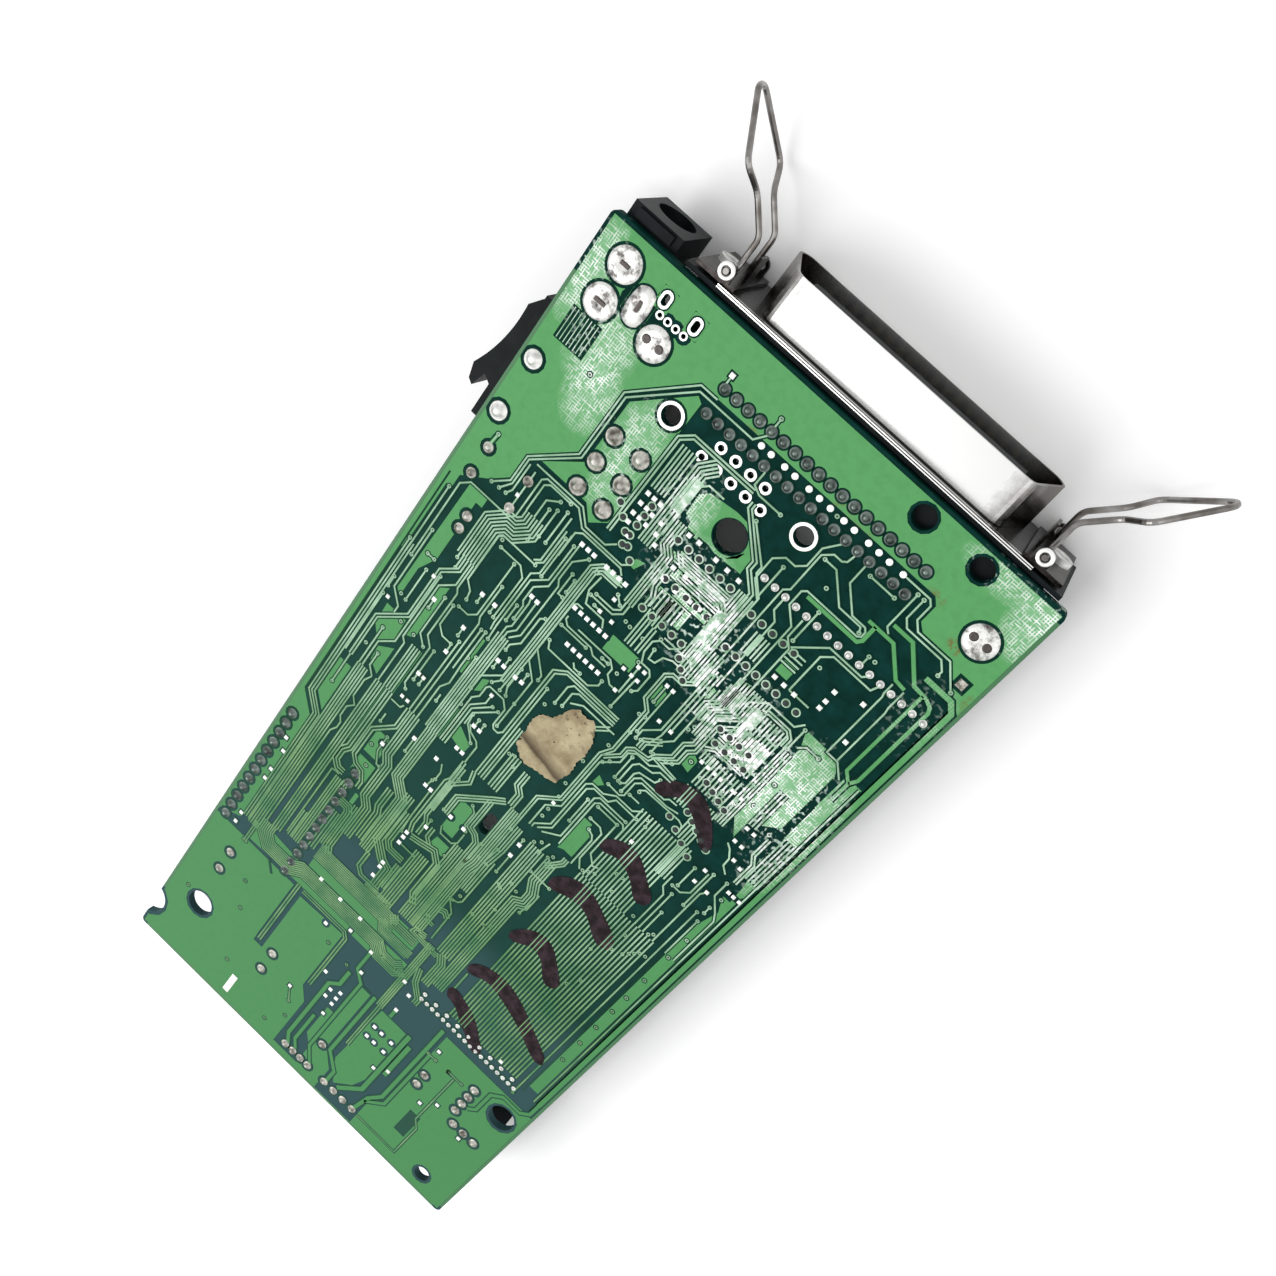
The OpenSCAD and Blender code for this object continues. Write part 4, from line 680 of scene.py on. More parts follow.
# %% Tracks between the bus chips and the processor
TRACKS += [
    (1, "-o", [(45.1, 40), (45.1, 41.5), (43.8, 42.8), (42, 42.8), (41.2, 43.8), (41.2, 46), (42, 47.7),
               (43.6, 47.7), (44.3, 48.5), (44.3, 51.7), (43.6, 52.5)]),
    (1, "oo", [(42.2, 44.6), (42.4, 46.4), (43.5, 46.2), (44, 44.6), (45.4, 43.9), (47, 43.9)]),
    (1, "--", [(42.2, 42), (47.4, 42), (48.4, 43)]),
    (2, "--", [(50, 40), (50, 44.2), (48.6, 45.6), (46.8, 45.6), (45.9, 46.5), (45.9, 51.7),
               (47.4, 53.2), (47.4, 62.4), (46.3, 64.6), (46.3, 76), (43.2, 79), (43.2, 84)], 0.5),
    (1, "-o", [(48.3, 47.6), (48.3, 57)]), (1, "-o", [(47.2, 47.6), (47.2, 51.2)]),
    (1, "--", [(42.2, 48.7), (42.2, 54.2)]), (1, "-o", [(43, 50.4), (42.7, 57)]),
    (1, "-o", [(50.9, 40), (50.9, 53.9), (48.8, 56.2), (48.8, 58)]),
    (1, "-o", [(51.5, 40), (51.5, 54.6), (50.9, 57), (49.6, 57.7)]),
    (1, "--", [(52.2, 40), (52.2, 53)]), (1, "-o", [(53.5, 42), (53.5, 53.8), (52, 55.6), (52, 58)]),
    (1, "o-", [(54.2, 44.7), (54.2, 40)]),
    (2, "--", [(58.6, 43.4), (56, 46), (56, 51.8), (54.9, 53), (54.9, 56), (52.9, 58), (52.4, 59.3),
               (49.8, 59.7), (48.9, 60.6), (48.9, 62.2), (46.9, 64.6)], 0.5),
    (2, "--", [(59.6, 44.4), (57, 47), (57, 52.6), (56.1, 53.6), (56.1, 56), (54.4, 57.8), (53.5, 58.4),
               (57.6, 58.8)], 0.5), (10, "--", [(62.4, 40), (62.4, 50)], 0.62),
    (3, "--", [(56.4, 40), (56.4, 43.6)], 0.55), (9, "--", [(62.5, 51), (62.5, 57)], 0.7),
    (4, "--", [(66.9, 42), (66.9, 59)], 0.5), (2, "--", [(57.6, 51), (59, 50), (64.4, 50)], 0.5),
    (1, "--", [(57.5, 58.9), (54.4, 58.9), (53.2, 60), (50.6, 60), (49.5, 61), (49.5, 63.2),
               (47.1, 65.8), (47.1, 77), (45, 79), (45, 84)]),
    (1, "-o", [(57.4, 59.6), (55.2, 59.6), (54.3, 60.6), (51.9, 61), (51.2, 62), (51.2, 66)]),
    (1, "oo", [(56, 60.6), (55.6, 61.6), (52.8, 62.2), (52.3, 63), (52.3, 65.4), (51.6, 66)]),
    (1, "-o", [(60.5, 61.9), (59, 62), (58.4, 62.7), (53.6, 62.7), (52.8, 63.6), (52.6, 67)]),
    (1, "-o", [(61.5, 62.8), (59.4, 63.3), (54.2, 63.3), (53.4, 64.2), (53.4, 67.2), (52.8, 67.8),
               (50.4, 67.7)]),
    (1, "--", [(63.5, 65), (63.2, 64), (62.3, 63.6), (55.4, 63.8), (54.6, 64.6)]),
    (1, "-o", [(56, 66.4), (54, 66.4)]),
    (1, "--", [(57.3, 67), (56, 68.3), (52.6, 68.3), (50.8, 69.7), (48.5, 69.7), (47.7, 70.6),
               (47.7, 81), (45.6, 83.2), (45.6, 84)]),
    (1, "o-", [(57.3, 68.9), (53, 68.9), (52.2, 70.2), (49.2, 70.2), (48.3, 71.2), (48.3, 81.4),
               (46.4, 83.4)]),
    (1, "o-", [(56.4, 70.7), (50.9, 70.7), (50.2, 71.5), (50.2, 81.4), (47.4, 83.4)]),
    (1, "--", [(57, 74.5), (57, 72.2), (56.4, 71.4), (51.5, 71.4), (50.8, 72.1), (50.8, 82.8)]),
    (1, "oo", [(51.6, 72.2), (55.7, 72.2)]),
    (1, "--", [(55.7, 72.6), (55.7, 79.8), (57.3, 81.4), (58.2, 80.9)]),
    (1, "o-", [(51.9, 74.8), (54, 74.8), (54.9, 75.6), (54.9, 82), (56, 83.6)]),
    (1, "o-", [(52.9, 76.6), (53.9, 77), (54.4, 77.8), (54.4, 84)]),
    (1, "oo", [(50.4, 61), (50.4, 65.9)]), (1, "oo", [(49.6, 72.5), (49.6, 78)]),
    (14, "--", [(61.6, 66.5), (61.6, 84)], 0.7), (1, "oo", [(69.2, 68), (69.2, 72.6)]),
    (1, "o-", [(68.6, 73.3), (70.2, 73.3), (71.4, 72), (71.4, 67)]),
    (1, "oo", [(72, 66.5), (72, 74.6)]),
    (1, "--", [(70, 60.4), (70.9, 61), (71.9, 62.4), (72, 64), (73.2, 65)]),
    (2, "--", [(74.2, 55), (74.2, 59), (75.2, 60.4), (75.2, 65)], 0.5),
    (1, "o-", [(74.4, 66), (74.4, 69.2), (76.4, 71.6), (77.2, 73), (77.2, 84)]),
    (1, "--", [(73.2, 69.8), (72.6, 70.9), (72.6, 84)]), (1, "oo", [(75.2, 71.5), (75.2, 73)]),
    (1, "o-", [(74.3, 73.8), (74.3, 84)]), (1, "o-", [(69.5, 74.6), (69.5, 84)]),
    (1, "--", [(67.6, 72), (67.6, 74.6), (68.6, 75.8), (68.6, 84)]),
    (1, "o-", [(70.4, 78.6), (70.4, 84)]), (1, "o-", [(75.4, 75), (75.4, 84)]),
    (3, "--", [(70.9, 47.4), (70.9, 55.4)], 0.6), (5, "--", [(77, 53), (77, 63)], 0.6),
    (1, "--", [(78.1, 38.6), (78.1, 128)]), (2, "--", [(45, 60), (42, 63)], 0.6),
    (6, "--", [(47.2, 28), (47.2, 38.4)], 0.5), (9, "--", [(48.8, 38), (48.8, 44.4)], 0.55),
    (12, "--", [(57.6, 38.2), (57.6, 43.6)], 0.55),
    (4, "--", [(57.2, 43.6), (55.4, 45.4), (55.4, 50.6)], 0.5),
    (5, "--", [(45.6, 30.8), (36, 30.8)], 0.45), (3, "--", [(45.6, 33), (38, 33)], 0.5),
    (7, "--", [(39.6, 36.4), (39.6, 39.8)], 0.7), (5, "--", [(53, 31), (53, 35)], 0.6),
    (4, "--", [(59.8, 30.6), (57, 30.6)], 0.8), (8, "--", [(62.8, 44), (62.8, 49)], 0.6),
    (6, "--", [(59.6, 51), (59.6, 53)], 0.6), (5, "--", [(58, 48.6), (63.6, 48.6)], 0.5),
]
print(len(TRACKS), "bundles of tracks")

# %% [markdown]
# ## Tracks level with the memory chip
# Bundles of up to fifteen lanes lie in the rear half of the board.

# %% Tracks level with the memory chip
TRACKS += [
    (5, "--", [(7, 84), (7, 98), (7, 127.4)], 0.52),
    (1, "--", [(9.3, 84.4), (8.6, 86), (8.6, 90), (9.7, 91.3), (8.7, 92.6), (8.7, 95), (9.4, 96),
               (9.4, 97.4), (8.7, 98.8), (8.7, 124)]), (4, "--", [(11, 84), (11, 124)], 0.55),
    (3, "--", [(13.2, 84), (13.2, 98.6), (12.4, 100), (12.4, 102.4), (13.6, 103.6), (15, 103.6)], 0.6),
    (1, "-o", [(4.1, 84), (4.1, 90.8)]),
    (2, "--", [(17.6, 84), (17.6, 88.6), (14.5, 92.3), (14.5, 98.9), (15.7, 100.2), (17.3, 100.6),
               (18.4, 102.4), (18.4, 104)], 0.6),
    (1, "o-", [(14.2, 104.4), (12.9, 104.7), (12.9, 122.6)]),
    (1, "--", [(14.2, 85), (16.2, 85), (16.6, 84.2)]), (1, "o-", [(14.9, 89.9), (14.9, 88)]),
    (4, "--", [(19.2, 84), (19.2, 94), (20.4, 95.8), (20.4, 104), (21.9, 105.8), (21.9, 113.6)], 0.55),
    (1, "oo", [(17.5, 91.4), (17.5, 94.9), (18.7, 97.2), (19.4, 97.2)]),
    (1, "o-", [(21.3, 90.9), (21.3, 87.6)]),
    (5, "--", [(22.9, 84), (22.9, 96), (25.9, 99), (25.9, 113)], 0.5),
    (3, "--", [(20.6, 107), (20.6, 118), (21.4, 119.6)], 0.55),
    (3, "--", [(23.4, 99), (23.4, 103.6), (24, 105), (24, 112)], 0.6),
    (4, "--", [(17.2, 108.6), (19.2, 108.6), (19.9, 109.6), (19.9, 119)], 0.5),
    (3, "--", [(18.1, 111), (18.1, 121.4)], 0.6), (2, "--", [(13.6, 116), (13.6, 123)], 0.6),
    (4, "--", [(26.8, 97), (26.8, 109), (29.6, 111.8), (31.4, 112.6), (31.4, 117.4)], 0.55),
    (3, "--", [(28.4, 100), (28.4, 107.6), (29.4, 108.8), (32.6, 108.8)], 0.55),
    (2, "--", [(27, 112.6), (27, 116.6), (28.3, 117.8), (32.6, 117.8)], 0.6),
    (1, "-o", [(27.6, 87.5), (28.3, 89), (28.3, 90.8)]), (1, "o-", [(28, 91.4), (27.7, 93.1)]),
    (2, "--", [(30.4, 84), (30.4, 88.6), (29.9, 89.6), (29.9, 101), (30.4, 102.8)], 0.6),
    (1, "-o", [(28.8, 93.1), (28.9, 100.6), (29.2, 104)]),
    (3, "--", [(39.8, 84), (38, 85.6), (33.1, 90.4), (33.1, 94.6)], 0.5),
    (2, "--", [(32.6, 84), (33.2, 86.4), (30.8, 89.4), (30.8, 97.6), (31.6, 99), (31.6, 102)], 0.55),
    (3, "--", [(37.9, 86), (37.9, 93), (39.3, 93.5), (40.4, 94.7), (40.4, 118)], 0.5),
    (1, "oo", [(36, 89.4), (37, 90.3), (37, 93.4), (37.8, 94.4)]),
    (1, "--", [(34, 97), (34.7, 98.4), (37.2, 98.4), (38, 97.4), (38, 95)]),
    (3, "--", [(31, 103.4), (32.8, 103), (35.8, 102.2), (37.6, 104), (37.6, 112.4), (38.8, 114.4)],
     0.55), (2, "--", [(33.3, 98.6), (33.3, 101), (34.4, 102)], 0.55),
    (1, "oo", [(32.1, 97.8), (32.1, 99.6)]), (6, "--", [(34.7, 104.6), (34.7, 119)], 0.55),
    (4, "--", [(38.6, 97.6), (38.6, 118)], 0.5), (1, "-o", [(30.1, 106.2), (33.4, 106.2)]),
    (3, "--", [(32.6, 110), (32.6, 116.6)], 0.5), (9, "--", [(19.6, 120.9), (39, 120.9)], 0.42),
    (4, "--", [(37.4, 119), (38.6, 120.6), (43.6, 120.6)], 0.5),
    (5, "--", [(36.4, 121.6), (37.6, 123.6), (44.4, 123.6)], 0.4),
    (6, "--", [(42.3, 84), (42.3, 98), (41.9, 100), (41.9, 118)], 0.46),
    (3, "--", [(44.5, 86), (44.5, 92), (44, 96), (44, 104)], 0.5),
    (1, "o-", [(43.6, 107.2), (44.6, 106.8), (45.1, 106), (45.1, 95)]),
    (1, "--", [(42.8, 107), (45, 109.6), (45.2, 117)]), (1, "-o", [(46.1, 91.4), (46.1, 96)]),
    (1, "o-", [(46.1, 87.3), (46.1, 88.6)]), (6, "--", [(48.7, 86.4), (48.7, 118)], 0.56),
    (5, "--", [(52, 86.4), (52, 92), (53.2, 94.4), (53.2, 97), (51.8, 98), (51.8, 124.6)], 0.5),
    (3, "--", [(53.5, 84), (53.5, 85.2), (52.2, 87.2), (51.4, 88)], 0.45),
    (1, "-o", [(54.2, 93.4), (54.2, 95.6), (53.6, 99)]), (1, "oo", [(50.4, 90.9), (54.6, 90.9)]),
    (3, "--", [(42.6, 111), (44, 110.4), (45, 111.2)], 0.5),
    (2, "--", [(42, 113.4), (42.6, 114.6), (44, 114.6)], 0.5),
    (3, "--", [(44.4, 117.6), (42.2, 118), (42, 118.8), (48, 119.2)], 0.45),
    (1, "-o", [(49.8, 84), (49.2, 87)]), (4, "--", [(48.4, 118), (49.6, 120), (49.6, 126)], 0.5),
    (15, "--", [(61.5, 84), (61.5, 127)], 0.7), (9, "--", [(70, 84), (70, 127)], 0.72),
    (1, "--", [(54.1, 117), (54.1, 122)]), (1, "-o", [(74.3, 84), (74.3, 130)]),
    (1, "oo", [(66.4, 90), (66.4, 94)]),
]
print(len(TRACKS), "bundles of tracks")

# %% [markdown]
# ## Last tracks, most of them in the rear half
# Most of the last tracks run in bundles of up to eight lanes.

# %% Last tracks, most of them in the rear half
TRACKS += [
    (8, "--", [(9.6, 124), (9.6, 126.4), (11.7, 128.4), (17.4, 128.4), (19.4, 126.9), (38.2, 126.9),
               (40, 128.6), (43.6, 128.6), (45, 127)], 0.42),
    (2, "-o", [(7.5, 126), (7.5, 131.6)], 0.5), (2, "--", [(20.6, 130), (20.6, 147.4)], 0.55),
    (2, "--", [(21.8, 130.6), (32.4, 130.6), (33.4, 131.8), (33.4, 146.6)], 0.55),
    (4, "--", [(46.1, 118), (46.1, 138)], 0.42), (2, "--", [(46.2, 138), (46.2, 151)], 0.5),
    (3, "--", [(47.2, 124), (48.2, 127.4), (50.6, 130), (50.6, 131.4)], 0.5),
    (1, "--", [(65.2, 138), (65.2, 152.5), (66.6, 154.3), (66.6, 163.2), (56.5, 163.2)], 0.5),
    (1, "oo", [(30.8, 150.8), (32.4, 153.8)]), (1, "oo", [(63.6, 137.6), (66.8, 137.6)]),
    (1, "oo", [(58.6, 137.8), (60.4, 137.8)]),
    (2, "--", [(45.6, 128.6), (41, 128.6), (38.6, 126)], 0.5), (4, "--", [(31.6, 20), (31.6, 26)], 0.5),
    (3, "--", [(38.5, 40), (38.5, 47)], 0.6), (2, "--", [(40.3, 42), (40.3, 47)], 0.6),
    (4, "--", [(54.9, 40), (54.9, 44), (53.6, 45.4), (53.6, 48)], 0.5),
    (4, "--", [(59.6, 40), (59.6, 46)], 0.5), (3, "--", [(52.4, 55.4), (50.2, 57.4), (50.2, 59)], 0.5),
    (5, "--", [(64.6, 58), (64.6, 66)], 0.6), (4, "--", [(60.4, 57.6), (60.4, 61.4)], 0.6),
    (4, "--", [(66, 66), (66, 73.6)], 0.6), (4, "--", [(36.6, 76), (36.6, 84)], 0.6),
    (3, "--", [(39.6, 77), (39.6, 80), (40.8, 81.2), (40.8, 84)], 0.55),
    (3, "--", [(30.8, 85), (30.8, 96)], 0.5), (3, "--", [(16.4, 104.6), (16.4, 106)], 0.5),
    (4, "--", [(15, 105), (15, 123)], 0.5), (3, "--", [(29.9, 118.4), (36, 118.4)], 0.4),
]
print(len(TRACKS), "bundles of tracks")

# %% [markdown]
# ## Wide tracks and bare lanes
# Current needs wide copper. Wide tracks are given by half-width and centre line. So are
# the dark lanes that are etched through whole copper and hold no track.

# %% Wide tracks and bare lanes
WIDE_TRACKS = [
    (0.32, [(62.2, 18.4), (66.8, 18.4), (70.6, 22.2), (72.4, 22.4)]),
    (0.34, [(53.7, 21.9), (63, 21.9), (63.5, 21.2), (63.5, 18.4)]),
    (0.34, [(65.1, 16.4), (68.6, 16.4), (73, 21), (75.4, 21.2)]),
    (0.32, [(75.4, 21.2), (76.6, 21.8), (77, 22.6), (77, 37.6), (76.3, 39)]),
    (0.3, [(74.8, 21.2), (74.8, 37.6), (76.3, 39), (76.3, 43)]),
    (0.46, [(73.3, 19), (78, 19), (79.3, 20.4), (79.3, 128)]),
    (0.36, [(79.3, 128), (79.3, 131), (77.8, 132.5), (73.8, 132.5), (71.9, 134.3), (71.9, 139.6),
            (70.6, 141)]),
    (0.42, [(37.9, 136.9), (37.9, 141), (36.2, 142.8), (36.2, 160), (37.4, 162.4)]),
    (0.36, [(37.9, 151.5), (37.9, 160), (39.2, 162)]),
    (0.34, [(38.6, 130), (38.6, 135), (40.9, 137.2), (40.9, 158.6), (43.2, 162.2)]),
    (0.4, [(44.5, 137), (44.5, 155.5), (47.8, 159), (47.8, 162.6)]),
    (0.5, [(54, 138), (54, 157), (50.2, 161.6)]),
    (0.42, [(57.8, 131), (57.8, 154.6), (56, 157.6), (55.2, 162.4)]),
    (0.36, [(59, 137.8), (59, 155.6), (55.8, 159)]), (0.3, [(3.9, 36), (3.6, 38.7)]),
    (0.36, [(48.9, 135.8), (48.9, 138)]), (0.5, [(55.3, 140), (55.3, 150)]),
]
ETCHED_LANES = [
    (0.16, [(78.7, 20), (78.7, 130.6)]), (0.14, [(75.3, 60), (75.3, 128)]),
    (0.2, [(74.4, 40), (74.4, 52)]), (0.2, [(75.3, 45.6), (75.3, 58)]), (0.16, [(0.9, 46), (0.9, 96)]),
    (0.2, [(63.2, 138), (64.6, 138)]), (1.3, [(64.6, 151.6), (64.6, 158.4)]),
    (0.3, [(13.2, 130.6), (15.2, 133)]), (0.2, [(41.6, 137.2), (43.4, 137.2)]),
]
print(len(WIDE_TRACKS), len(ETCHED_LANES), "entries")

# %% [markdown]
# ## Holes without a track
# Many small plated holes end no track on this face, so they are listed by themselves.

# %% Holes without a track
LONE_HOLES = [
    (10, 19.4), (13.7, 48.6), (8, 72.4), (5.4, 68.4), (5.2, 80.2), (11, 72.6), (20.4, 68.6), (24, 76),
    (42, 42.6), (46.8, 54.5), (47.8, 54.2), (47.6, 58), (52.5, 58), (53.6, 58), (54.6, 57.4),
    (55.6, 57), (53.9, 50.6), (54.4, 49.6), (60.2, 55.4), (61.6, 55), (63, 55.6), (64, 54.4),
    (66.6, 54.6), (58.7, 67.6), (59.2, 68.8), (57.5, 54.4), (68.9, 47.5), (68.9, 52.5), (73.6, 54.4),
    (77, 62.4), (75.6, 69), (76.4, 79.2), (76.3, 84.2), (76.3, 91), (76.3, 96.3), (76.3, 100.5),
    (76.3, 105.5), (76.3, 110.5), (76.3, 116), (68.9, 87), (68.9, 91), (68.9, 100.4), (67.6, 103),
    (67.6, 83), (71.4, 83.6), (72, 82.9), (71.4, 89.2), (72, 88.4), (72.6, 87.6), (70.7, 90.2),
    (73.6, 87.3), (58.4, 82.2), (57.4, 82.8), (56.6, 83.4), (61, 79.2), (62.2, 79), (62.4, 82.4),
    (31.4, 135.4), (36.6, 136.2), (63.6, 137.6), (14.2, 145), (12, 139), (3.4, 150.4), (33.6, 157.4),
    (30.8, 162), (18, 157.6), (49.4, 10.4), (54.9, 19.1), (66.8, 22.3), (61.8, 28.6), (41.6, 48),
    (40.2, 52), (39.8, 44.6), (37.2, 44.6), (36.2, 44.4), (34.6, 65), (35.2, 76.6), (37, 78),
    (36.2, 76.2), (43.4, 73.2), (45.2, 73.2), (45, 67.8), (45.8, 76), (45.8, 79.2), (45.8, 81),
    (46.4, 62.4), (48.2, 64.4), (47.4, 65.4), (54.8, 64.8), (60.4, 60.6), (62.4, 60.8), (47.6, 86),
    (48.6, 85), (51, 86.4), (51.6, 85.6), (43.4, 87.4), (44, 92.4), (41.2, 94), (42.2, 96.4),
    (50.8, 96.2), (49.4, 95.6), (47.8, 97.6), (48.4, 98), (44, 96.4), (44.2, 105.4), (51.6, 105.6),
    (50.2, 102.2), (47.8, 106.4), (50.6, 106.4), (37.7, 101.4), (31, 92.4), (32.6, 94.2), (31.4, 87.4),
    (16, 94.8), (17.4, 99),
]
print(len(LONE_HOLES), "entries")

# %% [markdown]
# ## Bright lands
# Bare tinned lands lie bright among the lacquered copper. Square ones are given by
# half-size and places. The round ones stand between the two rows of the port.

# %% Bright lands
ROUND_X = [35.3, 37.1, 39.6, 41.5, 44.1, 46, 48, 50.5, 52.4, 55, 56.9, 58.8, 61.3]
ROUND_LANDS = [(x, 10.2) for x in ROUND_X]
BRIGHT_LANDS = [
    (0.42, [(26.2, 5.7)]),
    (0.4, [(27, 26.7), (28.2, 26.7), (29.4, 26.7), (27, 28.6), (28.2, 28.6), (29.4, 28.8), (31.2, 28.8),
           (27, 30.5), (28.2, 30.5), (29.6, 30.6), (31.6, 30.6), (27.2, 32.1), (32.4, 32), (28.4, 33.8),
           (35.4, 27.2), (37.2, 27), (36.6, 32.6), (38.8, 32.4), (36.4, 35), (39, 35.2), (41.6, 34.8),
           (43.4, 34.6), (45, 34.8), (40.6, 27.2), (42.8, 27.2), (45, 27.2), (58, 34.4), (59.8, 34.4),
           (61.8, 34.4), (65.7, 29.8), (65.7, 31.8), (65.7, 33.2), (69.8, 28.2), (71.8, 34.4)]),
    (0.36, [(11.6, 41.2), (11.8, 44), (32.2, 46.1), (32.8, 43), (34.6, 46.1), (42.1, 48.6),
            (43.3, 48.6), (40.5, 50.5), (42.1, 50.5), (43.3, 50.5), (41.6, 54.3), (47.2, 47.6),
            (48.4, 47.6), (52.2, 53), (49.8, 53), (58.7, 53.1), (60, 53.1), (61.3, 53.1), (62.6, 53.1),
            (65.1, 53.1), (66.9, 53.1), (58.6, 47.2), (63.8, 47.4), (65, 47.4), (70.6, 56.2),
            (72, 56.2), (70.6, 59.3), (72, 59.3), (72.6, 62), (74.2, 62.4), (75.6, 67), (76.6, 67),
            (77.8, 67), (70.6, 67), (70.6, 69.8), (73.2, 69.8), (59.2, 72.6), (45.8, 77.6),
            (65.4, 53.1), (27.1, 70.7), (8.2, 61.8), (3.9, 70.6), (15.4, 83), (16.6, 83),
            (16.5, 77.4)]),
    (0.4, [(3.1, 106.9), (4, 109.6), (4, 114.6), (4, 117.1), (4, 127.2), (4, 129.7), (69, 126.6),
           (33.2, 129.3), (39.6, 135), (63.7, 148.6), (66.3, 145.8), (73.4, 148.2), (52.9, 150.6),
           (55.4, 148.6), (59.8, 135.6), (39, 149.6), (30.8, 150.6), (38.6, 129.6), (46.7, 129)]),
]
print(len(ROUND_LANDS), len(BRIGHT_LANDS), "entries")

# %% [markdown]
# ## Small areas of copper
# Copper is left standing where no track needs the room, which saves the bath. Each
# area is a polygon of a few corners.

# %% Small areas of copper
COPPER_PATCHES = [
    [(20.1, 158.6), (22.5, 158.6), (22.5, 165), (20.1, 165)],
    [(35, 30.6), (45.6, 30.6), (46, 34), (36.4, 34)],
    [(36.3, 36.2), (43, 36.2), (43, 39.6), (36.3, 39.6)],
    [(51, 42), (54.5, 43), (54.5, 48), (51.5, 48)],
    [(54.4, 38.4), (56.6, 38), (56.2, 41.6), (54.3, 42.4)],
    [(37.2, 48.8), (40.6, 47.7), (41.4, 48.6), (40, 50.4), (36.6, 50)],
    [(34, 24.4), (36.6, 24.4), (37.6, 25.6), (37.8, 27), (34.6, 27)],
    [(57.4, 31), (59.6, 31), (59.6, 33.6), (57.4, 33.6)],
    [(4.4, 71.6), (8.6, 71.6), (8.8, 76.2), (6.4, 78.2), (4.6, 76)],
    [(3, 86), (5.5, 86), (5.5, 97), (3, 94.4)], [(10, 62.6), (11.4, 61.4), (11.4, 73), (10, 73.6)],
    [(7.2, 79), (9.7, 77.2), (9.7, 83.4), (7.4, 82)], [(20, 64), (21, 64), (21, 71.6), (20, 71.6)],
    [(23.3, 77), (24.3, 77), (24.3, 84), (23.3, 84)],
    [(26.1, 79.2), (29.4, 81), (29.2, 83), (26.1, 82.2)],
    [(24.3, 69.6), (25.4, 68.8), (25.4, 71.4), (24.3, 72.4)],
    [(56.4, 52.6), (58.2, 53.6), (58.2, 56.2), (56.4, 55.8)],
    [(48.4, 67.6), (50, 68.4), (49.2, 69.4), (48.2, 69.8)],
    [(51.6, 75.8), (53.8, 77.6), (53.8, 83), (51.4, 83)],
    [(75.3, 68.2), (77.6, 68.2), (77.6, 71.2), (76.6, 71)],
    [(31.6, 35.6), (33, 35.2), (32.2, 37.2), (31, 37)],
    [(66.6, 37.2), (73, 37.4), (74.2, 39.6), (67.8, 40)],
    [(11.6, 74), (13.9, 74), (13.9, 98), (11.8, 97)],
    [(45.9, 47.6), (48.4, 49), (48.2, 51.6), (46.6, 51.4)],
    [(34.6, 99.4), (37.4, 99.4), (37.4, 102), (34.2, 102)],
    [(18.8, 105), (19.6, 105), (19.6, 119), (18.8, 119)],
    [(40.8, 97), (43, 97), (43, 118), (40.8, 118)], [(33.8, 105), (36, 105), (36, 119), (33.8, 119)],
    [(19.8, 119), (44, 119), (44, 125), (19.8, 125)],
    [(8, 125), (20, 126), (45, 125.6), (45, 130), (20, 130), (8, 130.4)],
    [(43, 23.6), (44.4, 23), (44.6, 24.8), (43.2, 26.4), (41.2, 26.6), (41.6, 25.8)],
    [(39, 31), (45.6, 31), (45.6, 36), (39, 36)],
]
print(len(COPPER_PATCHES), "entries")

# %% [markdown]
# ## Dark dots
# Dark dots lie in rows, each a dark cap of painted shade in a pale ring. A row is
# given by its start, its step and its number.

# %% Dark dots
DARK_DOT_ROWS = [
    ((34.6, 28.9), (2.04, 0), 6), ((36.7, 34.8), (2.06, 0), 5), ((36.8, 40.8), (1.97, 0), 5),
    ((49.5, 29.7), (2.06, 0), 5), ((49.9, 36.3), (1.98, 0), 8), ((45.8, 42.8), (1.3, 1.2), 3),
    ((57.4, 46.8), (1.9, 0), 4), ((58.3, 49.2), (1.9, 0), 4), ((61.4, 55.2), (1.6, 0.5), 4),
    ((62.4, 61.4), (1.5, 0.7), 5), ((60.8, 64.2), (2.1, 1.1), 4), ((28.6, 27.8), (0, 1.9), 5),
    ((24.6, 30.6), (1.6, 1.5), 5),
]
print(len(DARK_DOT_ROWS), "entries")

# %% [markdown]
# ## Drawing on the board
# `ribbon` sweeps a trapezium along a bent line, as etched copper is wider at its
# foot. `stamped` turns a profile about an upright axis and sets a copy at every
# place, which makes plated holes, lands and solder joints. Curves with a bevel could
# do the first and instances the second, but both are plain arrays here.

# %% Ribbons and turned shapes
POUR_TOP = 0.06
GAP_TOP, TRACK_TOP = POUR_TOP + 0.006, POUR_TOP + 0.035
FOOT, AXIS_R = 0.02, 0.001
SQUARE = math.pi / 4
CORNER = 1.41


def sides(line):
    """Mitred unit normals of a bent line: (a + b) / (1 + a.b), a and b being its legs' normals."""
    step = np.diff(line, axis=0)
    step /= np.linalg.norm(step, axis=1)[:, None]
    normal = np.column_stack([-step[:, 1], step[:, 0]])
    a, b = np.vstack([normal[:1], normal]), np.vstack([normal, normal[-1:]])
    return (a + b) / (1 + (a * b).sum(1))[:, None]


def ribbon(line, foot, top, low, high):
    """A band along a line: half-width foot at height low, half-width top at height high."""
    line = np.asarray(line, float)
    across = np.array([-foot, -top, top, foot])
    places = (line[:, None] + sides(line)[:, None] * across[:, None]).reshape(-1, 2)
    return drilled(places, -np.tile([low, high, high, low], len(line))), sheet_faces(len(line), 4)


